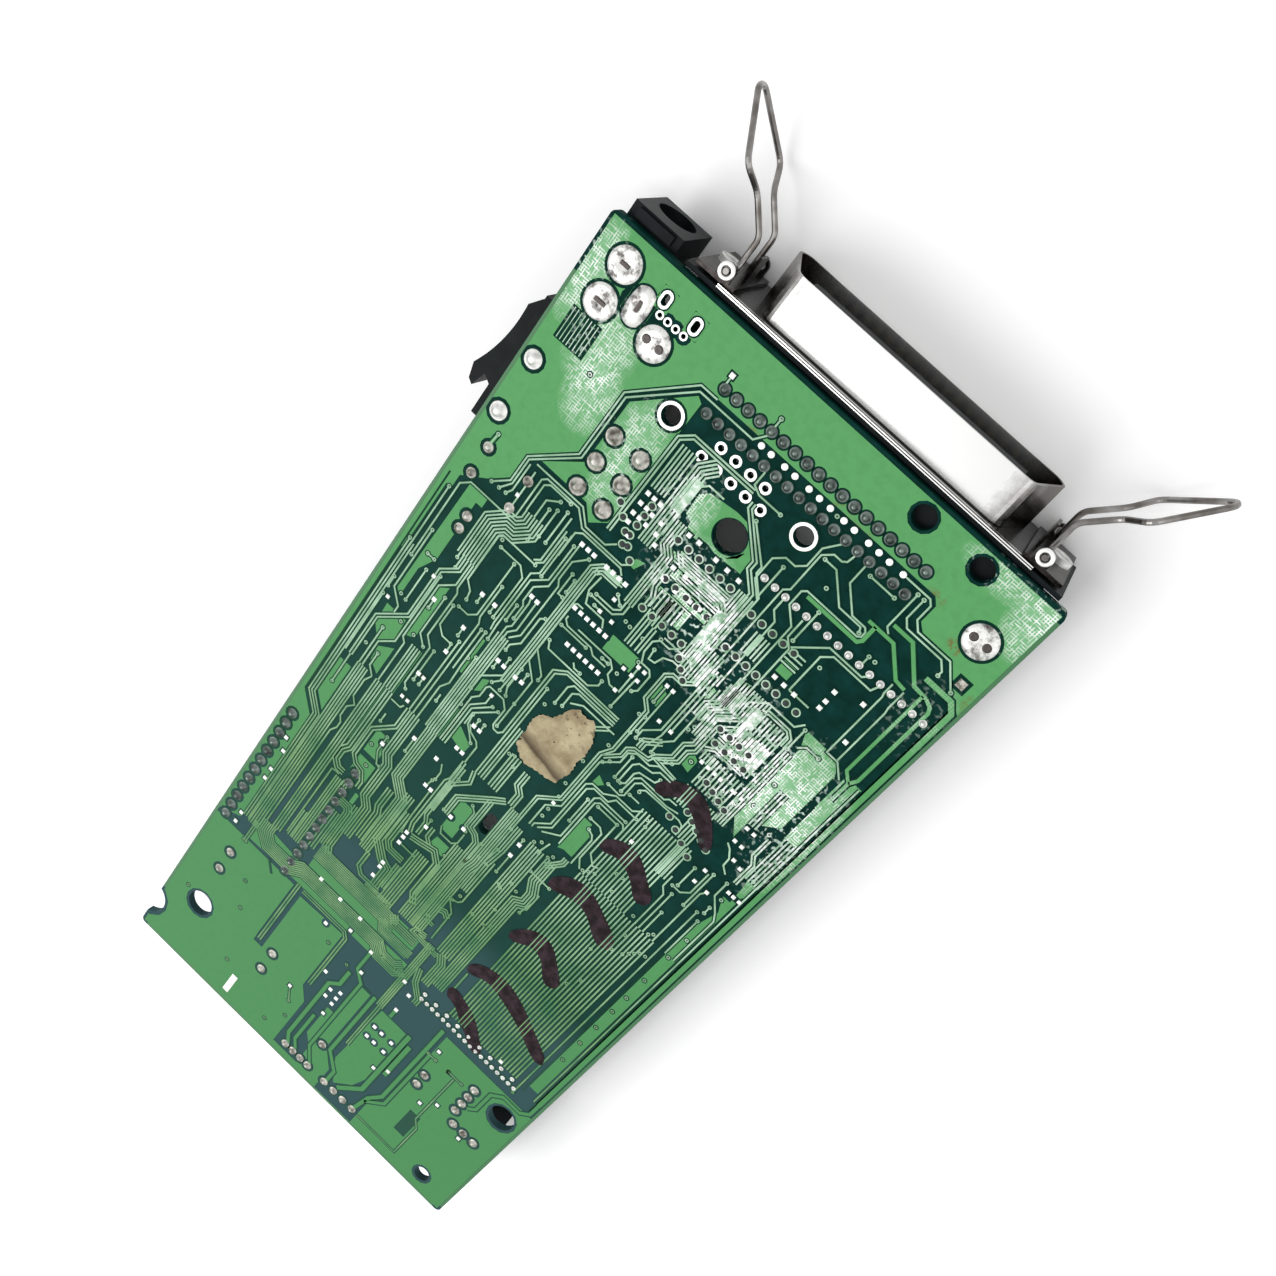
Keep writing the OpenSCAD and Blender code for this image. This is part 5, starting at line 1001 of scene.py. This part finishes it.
def stamped(places, profile, count=20, turn=0.0):
    """Copies of a turned profile: place + (r cos a, r sin a, z), from its rim to its middle."""
    angle = turn + np.arange(count) * 2 * math.pi / count
    profile = np.array(profile, float)
    ring = np.column_stack([np.cos(angle), np.sin(angle), np.zeros(count)])
    shape = profile[:, 0, None, None] * ring + profile[:, 1, None, None] * np.array([0, 0, 1.0])
    shape = MM * shape.reshape(-1, 3)
    middle = drilled(places)
    faces = sheet_faces(len(profile), count, wrap=True)
    starts = np.arange(len(middle)) * len(shape)
    return (middle[:, None] + shape).reshape(-1, 3), (faces + starts[:, None, None]).reshape(-1, 4)


def gap_disc(places, rim, top=GAP_TOP, count=20, turn=0.0):
    """A low disc, rim wide at its foot and 0.02 narrower on top, for the gap round a land."""
    return stamped(places, [(rim, FOOT), (rim - 0.02, top), (AXIS_R, top)], count, turn)


def row(start, step, count):
    """Places in a straight row: start + k * step."""
    return np.array(start) + np.outer(np.arange(count), step)


def lanes(bundle):
    """The lines of a bundle, its pitch apart: line + side * pitch * (k - (n - 1) / 2)."""
    count, _, line = bundle[:3]
    pitch = bundle[3] if len(bundle) > 3 else 0.5
    line = np.array(line, float)
    shifts = pitch * (np.arange(count) - (count - 1) / 2)
    return [line + sides(line) * shift for shift in shifts]


lines = [line for bundle in TRACKS for line in lanes(bundle)]
print(len(TRACKS), "bundles hold", len(lines), "tracks")

# %% [markdown]
# ## Whole copper among the tracks
# The frame's copper leaves out the small areas between tracks. Each is a flat
# polygon, a little lower than the frame's copper, so that the two share no plane. It
# could be cut from one sheet, but a few corners are enough. A collar closes the copper
# round a slot or a hole that the frame keeps clear by more than the real board does.

# %% Copper areas
AREA_TOP, SPANS = 0.045, 32


def area(corners):
    """A flat polygon, turned round so that it faces outwards."""
    return drilled(corners, np.full(len(corners), -AREA_TOP)), np.arange(len(corners))[None, ::-1]


def collar(place, size, hole):
    """A sheet from a rectangle in to a slot: ray d meets it at d / max(|dx|/(W/2), |dy|/(L/2))."""
    angle = (np.arange(SPANS) + 0.5) * 2 * math.pi / SPANS
    ray = np.column_stack([np.cos(angle), np.sin(angle)])
    outer = ray / np.abs(ray / (np.array(size) / 2)).max(1)[:, None]
    inner = ray * hole[0] / 2 + np.sign(ray) * [0, (hole[1] - hole[0]) / 2]
    corners = np.vstack([outer, inner]) + place
    return drilled(corners, np.full(len(corners), -AREA_TOP)), sheet_faces(2, SPANS, wrap=True)


CENTRE_HOLE, SIDE_BLADE = (40, 23.2), (10.05, 7.35)
areas = [area(corners) for corners in COPPER_PATCHES]
areas += [collar((x, 4.15), (2.55, 3.35), (2.3, 3.2)) for x in (12.59, 18.11)]
areas.append(stamped([CENTRE_HOLE], [(3.42, AREA_TOP), (2.8, AREA_TOP)], 48))
areas.append(collar(SIDE_BLADE, (4.25, 6.85), (4.2, 6.8)))
solid("copper_patches", areas, lacquer)

# %% [markdown]
# ## Gaps round the tracks
# On the real board tracks are etched from foil 0.035 mm thick, and a dark gap stays
# on both sides. Cutting gaps out of the copper would take many booleans. Here the
# gap is a low ribbon wider than its track, so that it also shows on whole copper.
# Lanes of different bundles may cross, so heights rise in small steps from lane to
# lane and start again after a few, and crossing faces seldom share a plane.

# %% Gaps
rise = np.arange(len(lines)) % 12
plated = [line[end] for bundle in TRACKS for line in lanes(bundle)
          for end, mark in zip((0, -1), bundle[1]) if mark == "o"]
plated = np.array(plated + LONE_HOLES)
lands = [(half, np.array(places, float)) for half, places in BRIGHT_LANDS]
gaps = [ribbon(line, 0.36, 0.34, FOOT, GAP_TOP + 0.001 * step) for line, step in zip(lines, rise % 6)]
gaps += [ribbon(line, half + 0.24, half + 0.22, FOOT, GAP_TOP) for half, line in WIDE_TRACKS]
gaps += [ribbon(line, half + 0.02, half, FOOT, GAP_TOP) for half, line in ETCHED_LANES]
gaps.append(gap_disc(plated, 0.56, GAP_TOP + 0.001, 14))
gaps += [gap_disc(places, CORNER * half + 0.36, GAP_TOP + 0.001, 4, SQUARE) for half, places in lands]
gaps.append(gap_disc(ROUND_LANDS, 0.74, GAP_TOP + 0.002))
solid("etched_gaps", gaps, gap_floor)

# %% [markdown]
# ## Tracks
# The tracks are narrower ribbons on the gaps. They stand for the frame's own tracks,
# which only give the main runs. Wide tracks wear the lacquer of the whole copper.

# %% Tracks
tracks = [ribbon(line, 0.19, 0.1, 0.03, TRACK_TOP + 0.003 * step) for line, step in zip(lines, rise)]
track_copper = solid("etched_tracks", tracks, track_coat)
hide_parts("track_copper")
wide = [ribbon(line, half, half - 0.06, 0.03, TRACK_TOP + 0.01) for half, line in WIDE_TRACKS]
solid("wide_tracks", wide, lacquer)

# %% [markdown]
# ## Plated holes and lands
# A plated hole carries a track to the other face. Its ring shows pale round a dark
# disc, painted shade where the bore is. The lands are left bare of lacquer and tinned.
# All are turned profiles: a square land is a profile turned in four steps.

# %% Plated holes and lands
ring = [(0.36, GAP_TOP), (0.31, TRACK_TOP + 0.015), (0.19, TRACK_TOP + 0.015), (0.16, GAP_TOP + 0.004)]
# A flat dark disc in each ring: painted shade of the bore.
shade_disc = [(0.17, GAP_TOP + 0.004), (AXIS_R, GAP_TOP + 0.003)]
solid("plated_rings", [stamped(plated, ring, 14)], track_coat, smooth=True)
solid("shade_in_plated_holes", [stamped(plated, shade_disc, 10)], hole_shade)


def land_profile(reach):
    """Steep at its rim, then nearly flat to its middle."""
    return [(reach, 0.03), (reach - 0.05, 0.13), (reach - 0.24, 0.2), (0.2, 0.22), (AXIS_R, 0.22)]


tinned = [stamped(places, land_profile(CORNER * half), 4, SQUARE) for half, places in lands]
solid("bright_lands", tinned, bright_tin)
button = [(0.52, 0.03), (0.5, 0.14), (0.3, 0.2), (AXIS_R, 0.22)]
solid("round_lands", [stamped(ROUND_LANDS, button, 20)], bright_tin)

# %% [markdown]
# ## Dark dots
# Each dot is a dark cap of painted shade in a pale turned ring. They could be holes cut
# in the board, but each is so small that a dark cap in a turned ring shows the same.

# %% Dark dots
dark_dot_places = np.concatenate([row(*line) for line in DARK_DOT_ROWS])
dot_ring = [(0.74, FOOT), (0.72, 0.1), (0.5, 0.11)]
# A dark cap of painted shade in each ring.
shade_cap = [(0.55, 0.08), (0.4, 0.2), (AXIS_R, 0.24)]
solid("dark_dot_rings", [stamped(dark_dot_places, dot_ring, 16)], track_coat)
solid("dark_dot_shade", [stamped(dark_dot_places, shade_cap, 14)], hole_shade, smooth=True)

# %% [markdown]
# ## Probe lands
# A tester's probes stand on small bare lands. They could be cut out of the lacquer,
# but stamping them like joints needs one profile only. They stand for the frame's
# test lands, with one long bright bar near the rear.

# %% Probe lands
PROBE_LANDS = np.concatenate([
    row((28.9, 48.6), (1.26, 0), 6), row((31.5, 54.2), (1.27, 0), 6), row((28.9, 39.9), (1.26, 0), 4),
    row((23.9, 39.9), (1.22, 0), 3),
    [(22.6, 52.3), (23.8, 52.4), (16.2, 58.1), (18.8, 58), (10.4, 64.9), (16.9, 65), (16.9, 70.6),
     (24.5, 65), (25.8, 65.1), (28.3, 65.1), (29.6, 65), (27.9, 77.4), (29.1, 77.4), (27.9, 83),
     (29.1, 83), (26.3, 87.5), (27.6, 93.1), (28.8, 93.1), (15.4, 77.4), (21.3, 87.6), (17.5, 93.1),
     (34.3, 94.3), (37.3, 94.3), (30.1, 103.4), (30.1, 104.7), (30.1, 106.2), (30.1, 112.1),
     (30.1, 113.3), (30.1, 115.8), (32.1, 99.6), (46.1, 88.6), (46.1, 91.4), (23.2, 125.2),
     (28.2, 125.5), (33.2, 125.5), (28.8, 132.3), (48.9, 130.8), (48.9, 135.6), (37.2, 143.7),
     (37.2, 145.8), (39.1, 142.6), (39.1, 144.4), (39.1, 146.2), (34.4, 141.2), (48, 142.6),
     (49.8, 142.6), (52.3, 142.6), (48, 145.7), (49.8, 145.7), (52.3, 145.7)],
])
PROBE_LAND = [(0.56, 0.03), (0.52, 0.14), (0.3, 0.19), (AXIS_R, 0.2)]
BAR = [(21.3, 159.3), (21.3, 164.2)]
probed = [stamped(PROBE_LANDS, PROBE_LAND, 4, SQUARE), ribbon(BAR, 0.7, 0.6, 0.03, 0.13)]
probe_lands = solid("probe_lands", probed, bright_tin)
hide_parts("test_lands")

# %% [markdown]
# ## Solder joints
# Molten solder climbs a leg by wetting it, so a joint is a hollow-sided cone. Spheres
# would look like beads that never wetted. Each kind of joint is one profile, turned
# and stamped where the frame's joint stands, in a dark ring where the copper ends.

# %% Solder joints
def dome(radius, height, tip):
    """Hollow-sided cone: z = height * (1 - s) ** 1.8 at r = tip + s * (radius - tip)."""
    s = np.linspace(1, 0, 7)
    return [(radius + 0.02, 0.03), *zip(tip + s * (radius - tip), 0.1 + (height - 0.1) * (1 - s) ** 1.8),
            (tip * 0.7, height + 0.05), (AXIS_R, height + 0.08)]


PORT_X, PORT_PITCH = 44.9, 2.16
first_contact = PORT_X - 8.5 * PORT_PITCH
LONE_JOINTS = [
    (6.55, 136.4), (6.55, 141.4), (24.4, 147.8), (24.4, 152.8), (7.1, 49.8), (7.1, 52.3), (3.75, 38.7),
    (3.75, 43.8), (11.7, 38.4), (11.7, 43.8), (60.8, 142.6), (60.8, 145.6), (42.7, 155.9)]
# Joint: metal, slot, radius, height, radius of the leg's tip, groups of places
JOINTS = {
    "port_joints": (solder, "solder", 0.86, 0.62, 0.3, [
        row((first_contact, y), (PORT_PITCH, 0), 18) for y in (7.8, 12.1)]),
    "switch_joints": (tin, "tin", 1.48, 0.8, 0.5, [[(1.9, 23.5), (1.9, 33.2)]]),
    "choke_joints": (dull_tin, "tin", 1.38, 0.85, 0.42, [row((x, 23.8), (0, 4.85), 3) for x in (18.1, 23.2)]),
    "memory_joints": (solder, "solder", 0.93, 0.7, 0.32, [
        row((x, 102), (0, 2.54), 12) for x in (1.6, 16.84)]),
    "header_joints": (tin, "tin", 0.6, 0.5, 0.25, [row((47.5, 24.2), (2, 0), 16)]),
    "head_socket_joints": (tin, "tin", 0.44, 0.36, 0.18, [
        row((51, 129.2), (1.35, 0), 18), row((51, 127.8), (2.7, 0), 9)]),
    "rear_joints": (dull_tin, "tin", 0.86, 0.6, 0.32, [
        LONE_JOINTS, row((37.1, 163), (2, 0), 4), row((47.6, 163), (2.5, 0), 4),
        row((70.8, 146.4), (2.54, 0), 3), row((69.3, 136.4), (0, 2.35), 4)]),
}
for node, (metal, slot, radius, height, tip, groups) in JOINTS.items():
    places = np.concatenate([np.array(group, float) for group in groups])
    joints = [stamped(places, dome(radius, height, tip))]
    piece = solid("soldered_" + node, joints, metal, smooth=True)
    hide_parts(node)
    rims = [gap_disc(places, radius + 0.3, GAP_TOP + 0.002, 24)]
    solid("rim_of_" + node, rims, gap_floor)

# %% [markdown]
# ## The jack's lands
# The power jack's blades sit in wide lands flooded with solder, and so do the board
# locks of the port. The jack's pools dip where the blade stands. They could be fluid
# surfaces, but a wide turned profile with a dark gap round it is enough.

# %% Jack lands
PORT_LOCKS = [(14.8, 9.9), (75, 9.9)]
JACK_LANDS = [(5.2, 4.3), (5.2, 10.45)]
POOL = [(2.64, 0.03), (2.58, 0.2), (2.1, 0.24), (1.5, 0.34), (1.0, 0.26), (0.7, 0.12), (AXIS_R, 0.1)]
LOCK = [(2.64, 0.03), (2.58, 0.2), (1.6, 0.26), (AXIS_R, 0.28)]
SIDE_POOL = [(3.04, 0.03), (2.98, 0.2), (1.8, 0.24), (1.2, 0.34), (0.8, 0.16), (AXIS_R, 0.12)]


def rounded_land(place, size, profile):
    """A turned profile, sized, with its rim squared: p * (1 + 0.3 * (|p| / max(|x|, |y|) - 1))."""
    points, faces = stamped([(0, 0)], profile, 48)
    flat = points[:, :2] - drilled((0, 0))[0, :2]
    reach = np.linalg.norm(flat, axis=1)
    square = np.maximum(np.abs(flat).max(1), 1e-9)
    lean = 1 + 0.3 * (reach > 2.5 * MM) * (reach / square - 1)
    plan = flat * lean[:, None] * (np.array(size) / (2 * profile[0][0])) + drilled(place)[0, :2]
    return np.column_stack([plan, points[:, 2]]), faces


rims = [gap_disc(PORT_LOCKS + JACK_LANDS, 3.1, GAP_TOP + 0.003, 48)]
solid("rim_of_jack_lands", rims, gap_floor)
pools = [stamped(JACK_LANDS, POOL, 48), stamped(PORT_LOCKS, LOCK, 48)]
pools.append(rounded_land(SIDE_BLADE, (3.6, 6.2), SIDE_POOL))
pooled = solid("flooded_lands", pools, land_tin, smooth=True)
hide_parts("jack_joints")

# %% [markdown]
# ## Blades and locks
# The ends of the legs stand dark in the bright pools: two round legs in each board
# lock and one flat blade in each land of the jack. Whole legs could go through the
# board, but only their ends show. The serial socket's lock holes have a ring only.

# %% Blades and locks
LEGS = [(x + side * 1.15, y) for x, y in PORT_LOCKS for side in (-1, 1)]
LEG = [(0.72, 0.24), (0.6, 0.31), (0.34, 0.29), (AXIS_R, 0.28)]
BLADES = [[(4.45, 4.3), (5.95, 4.3)], [(4.25, 10.5), (6.15, 10.5)], [(10.05, 6.5), (10.05, 8.2)]]
SERIAL_LOCKS = [(22.8, 15.8), (47.8, 15.8)]
lock_ring = [(2.46, FOOT), (2.44, GAP_TOP + 0.003), (2.06, GAP_TOP + 0.003)]
solid("lock_legs", [stamped(LEGS, LEG, 24)], dark_solder, smooth=True)
blades = [ribbon(line, 0.34, 0.26, 0.1, 0.36) for line in BLADES]
solid("blade_tips", blades, dark_solder)
solid("rim_of_serial_locks", [stamped(SERIAL_LOCKS, lock_ring, 48)], gap_floor)

# %% [markdown]
# ## Etched test square
# A square window in the copper beside the jack holds a row of fine bars, and a smaller
# one at the far edge holds one square land. A texture could draw the bars, but as
# ribbons they are lit like the tracks.

# %% Etched square
WINDOWS = [([(5.05, 13.2), (5.05, 18.8)], 2.75), ([(77.3, 15.0), (77.3, 17.4)], 1.2)]
square_land = [(1.0, 0.05), (0.9, 0.14), (0.5, 0.16), (AXIS_R, 0.18)]
bars = [[(x, 13.4), (x, 18.6)] for x in np.arange(2.8, 7.4, 0.62)]
solid("small_square_land", [stamped([(77.3, 16.2)], square_land, 4, SQUARE)], dull_tin)
windows = [ribbon(line, half, half - 0.01, FOOT, GAP_TOP + 0.002) for line, half in WINDOWS]
solid("etched_square", windows, gap_floor)
fine_bars = [ribbon(bar, 0.11, 0.06, 0.03, TRACK_TOP) for bar in bars]
solid("etched_bars", fine_bars, track_coat)

# %% [markdown]
# ## Edges of the laminate
# Lacquer ends short of the sawn edge. Along three edges it reaches the edge in a
# thinner coat, which looks darker than the rest. It could be a mask in the lacquer's
# finish, but a thin ribbon is sharp from any distance.

# %% Edges
EDGES = [[(-0.3, 9.5), (-0.3, 155.4)], [(80.3, 1), (80.3, 165)], [(1, 166.3), (79, 166.3)]]
thin_coats = [ribbon(line, 0.28, 0.27, 0.0, 0.03) for line in EDGES]
solid("edge_lacquer", thin_coats, edge_coat)

# %% [markdown]
# ## Marks of a felt pen
# Used boards are often marked with a broad felt pen. These are plain strokes, each a
# cubic curve that keeps its width almost to its blunt ends. They could be painted into
# the lacquer's finish, but thin sheets cross tracks and gaps alike.

# %% Pen strokes
# Half-width and the curve's four corners
STROKES = [
    (1.5, [(56.4, 62.6), (60, 56.4), (64, 58.6), (68.6, 64.6)]),
    (1.7, [(56, 77.6), (60, 72.2), (64, 77), (67.6, 80)]),
    (1.8, [(54, 90.4), (59, 84), (63.4, 88.6), (68.4, 91.6)]),
    (1.7, [(55, 104.4), (60, 97.4), (62.6, 102), (66.4, 106)]),
    (1.6, [(53.6, 116.4), (58, 110.4), (66, 115.6), (74.4, 120.4)]),
    (1.5, [(53.4, 123), (57, 122.4), (61, 126), (65, 129.4)]),
]
INK_Z = 0.12


def bezier(corners, steps=40):
    """Cubic curve: (1-t)^3 a + 3 t (1-t)^2 b + 3 t^2 (1-t) c + t^3 d."""
    t = np.linspace(0, 1, steps)[:, None]
    a, b, c, d = np.array(corners, float)
    return (1 - t) ** 3 * a + 3 * t * (1 - t) ** 2 * b + 3 * t**2 * (1 - t) * c + t**3 * d


def pen_stroke(half, corners):
    """Half-width along the curve: half * sqrt(1 - t^8) * (1 + 0.1 sin(5 t + 9 half)), t from -1 to 1."""
    line = bezier(corners)
    t = np.linspace(-1, 1, len(line))
    swell = half * np.sqrt(np.clip(1 - t**8, 0.02, 1)) * (1 + 0.1 * np.sin(5 * t + half * 9))
    offset = sides(line) * swell[:, None]
    edge = np.stack([line - offset, line + offset], 1).reshape(-1, 2)
    return drilled(edge, np.full(len(edge), -INK_Z)), sheet_faces(len(line), 2)


solid("pen_marks", [pen_stroke(*stroke) for stroke in STROKES], ink)

# %% [markdown]
# ## A scrap of paper
# Torn label paper stuck to the board has a ragged outline and a crumpled face. Cloth
# physics would crumple it by chance. Here it is a grid of rings and spokes, of which
# the outline sets the reach and a few waves set the height, so that the crease lies
# where it should.

# %% Outline of the scrap
SCRAP_MIDDLE = np.array([39.6, 68.8])
OUTLINE = np.array([
    (44.4, 68.8), (44.3, 73), (43.8, 74.6), (41.4, 75.1), (39.6, 75.6), (38, 76), (36.2, 75),
    (34.6, 74), (34.8, 72.7), (36, 71.8), (34.9, 70.8), (34.6, 68.4), (35, 67), (36.9, 65.8),
    (37.8, 64), (38.2, 62.4), (39.4, 61.1), (41, 61.4), (42.3, 60.8), (43.8, 62.6), (44.6, 65.4),
]) - SCRAP_MIDDLE
turn = np.arange(120) * 2 * math.pi / 120
bearing = np.arctan2(OUTLINE[:, 1], OUTLINE[:, 0])
order = np.argsort(bearing)
reach = np.interp(turn, bearing[order], np.linalg.norm(OUTLINE, axis=1)[order], period=2 * math.pi)
ragged = reach * (0.985 + 0.015 * np.sin(23 * turn) * np.sin(7 * turn + 1) - 0.015 * np.sin(41 * turn))
print("scrap reaches", reach.min().round(1), "to", reach.max().round(1), "mm")

# %% [markdown]
# ## The scrap's face
# Three waves crumple it. The fold is a raised bell beside a sunk one along the crease,
# as a sheet rises beside a fold and dips in it. The rim is pressed down a little.

# %% Face of the scrap
share = np.linspace(1, 0.02, 30)[:, None]
u, v = share * ragged * np.cos(turn), share * ragged * np.sin(turn)
waves = [(0.08, 1.3, 0.8, 0), (0.06, -1.1, 2.4, 1), (0.05, 4.1, 2.6, 0)]
crumple = 0.3 + sum(high * np.sin(along * u + up * v + start) for high, along, up, start in waves)
crease = v - 3.9 - 0.17 * u
fold = 0.3 * np.exp(-((crease - 0.9) ** 2) / 0.3) - 0.22 * np.exp(-((crease + 0.3) ** 2) / 0.5)
lift = np.clip(crumple + fold - 0.1 * share**6, 0.08, 0.74)
plan = (SCRAP_MIDDLE + np.stack([u, v], -1)).reshape(-1, 2)
sheet = drilled(plan, -lift.ravel()), sheet_faces(len(share), len(turn), wrap=True)
scrap = solid("crumpled_scrap", [sheet], paper, smooth=True)
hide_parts("paper_scrap")

# %% [markdown]
# ## Heads of the bails' hinges
# Each wire bail turns in an eyelet, a short tube rolled over on the ear of its
# bracket. It is a turned ring, bright on its rolled edge, and stays with the ear.

# %% Eyelets
HINGES = [(16.7, -3.9), (73.1, -3.9)]
ROLLED_EDGE = [(1.3, -1.19), (1.26, -0.98), (1.1, -0.9), (0.85, -0.9), (0.68, -1.0), (0.64, -1.19)]
solid("hinge_eyelets", [stamped(HINGES, ROLLED_EDGE, 32)], eyelet, smooth=True)

# %% [markdown]
# ## The floor
# The board lies over a white card. Lamps strong enough to make the card white would
# wash out the board. So the card adds a little light of its own to rays that come from
# the eye, from a shine or through glass, but none under the board, where the holes
# must look dark.

# %% Floor
# Half-width of the card and its place under the lowest part, in metres
REACH, UNDER = 3.0, 0.0004
# Half-sizes of the board and its middle along Y, in millimetres
HALF_W, HALF_L, MIDDLE_Y = 40.6, 84.2, 59.2
floor_z = cad_box[0].z - UNDER
corners = np.array([[-1, -1, 0], [1, -1, 0], [1, 1, 0], [-1, 1, 0]]) * REACH + [0, 0, floor_z]
floor_mesh = bpy.data.meshes.new("table_top")
floor_mesh.from_pydata(corners.tolist(), [], [(0, 1, 2, 3)])
table_top = bpy.data.objects.new("table_top", floor_mesh)
bpy.context.scene.collection.objects.link(table_top)
white_card = Finish("white_card", Base_Color=linear(246, 246, 246), Roughness=0.9)
across = white_card.mm("X").absolute() / HALF_W
along = (white_card.mm("Y") - MIDDLE_Y).absolute() / HALF_L
beside_board = (across.ramp(1.0, 1.12) + along.ramp(1.0, 1.06)).clamped()
own_light = white_card.mix(white_card.seen_clear() * beside_board, linear(0, 0, 0), linear(116, 116, 116))
white_card.set(Emission_Color=own_light, Emission_Strength=1.0)
floor_mesh.materials.append(white_card.material)
print("floor at", round(floor_z / MM, 2), "mm")

# %% [markdown]
# ## Light
# Two wide soft lamps light the board, and a plain sky fills the shadows. A sky image
# would do both, but its light couldn't be placed. The sky is stronger to rays from the
# eye, a shine or glass, so it looks white without more light on the board.

# %% Lamps and sky
def softbox(name, place, size, watts, aim=(0, 0.04, 0)):
    """A square lamp at a place, turned so that it shines at the aim."""
    light = bpy.data.lights.new(name, "AREA")
    light.shape, light.size, light.energy = "SQUARE", size, watts
    lamp = bpy.data.objects.new(name, light)
    lamp.location = place
    lamp.rotation_mode = "QUATERNION"
    lamp.rotation_quaternion = (Vector(aim) - Vector(place)).to_track_quat("-Z", "Y")
    bpy.context.scene.collection.objects.link(lamp)


softbox("key_light", (0.25, 0.35, 0.55), 0.5, 2.7)
softbox("fill_light", (-0.5, -0.1, 0.5), 0.6, 0.95)
SKY_ON_OBJECT, SKY_SEEN = 0.64, 1.0
sky = bpy.data.worlds.new("sky")
sky.use_nodes = True
air = Graph(sky.node_tree)
strength = air.seen_clear() * (SKY_SEEN - SKY_ON_OBJECT) + SKY_ON_OBJECT
air.feed(sky.node_tree.nodes["Background"], {"Color": (1, 1, 1, 1), "Strength": strength})
bpy.context.scene.world = sky
print(len(bpy.data.lights), "lamps")

# %% [markdown]
# ## Camera
# The camera looks down on the solder face from above the connector edge. It could be
# turned by angles, but its axes written out can't be misread. The lens and a small
# shift frame the board.

# %% Camera
EYE = (-0.019374, -0.075703, 0.179638)
RIGHT = (-0.727112, -0.558376, -0.399405)
UP = (0.682482, -0.650917, -0.332454)
BACK = (-0.074346, -0.514318, 0.854371)
camera_data = bpy.data.cameras.new("camera")
camera_data.sensor_width, camera_data.lens = 36.0, 38.83
camera_data.shift_x, camera_data.shift_y = 0.0136, 0.0525
camera_data.clip_start = 0.005
camera = bpy.data.objects.new("camera", camera_data)
camera.matrix_world = Matrix.Translation(EYE) @ Matrix([RIGHT, UP, BACK]).transposed().to_4x4()
bpy.context.scene.collection.objects.link(camera)
bpy.context.scene.camera = camera
bpy.context.scene.view_settings.view_transform = "Standard"
print("camera is", round(Vector(EYE).length, 3), "m from the centre hole")

# %% [markdown]
# The dressed board has to stay inside the frame's own box.

# %% [markdown]
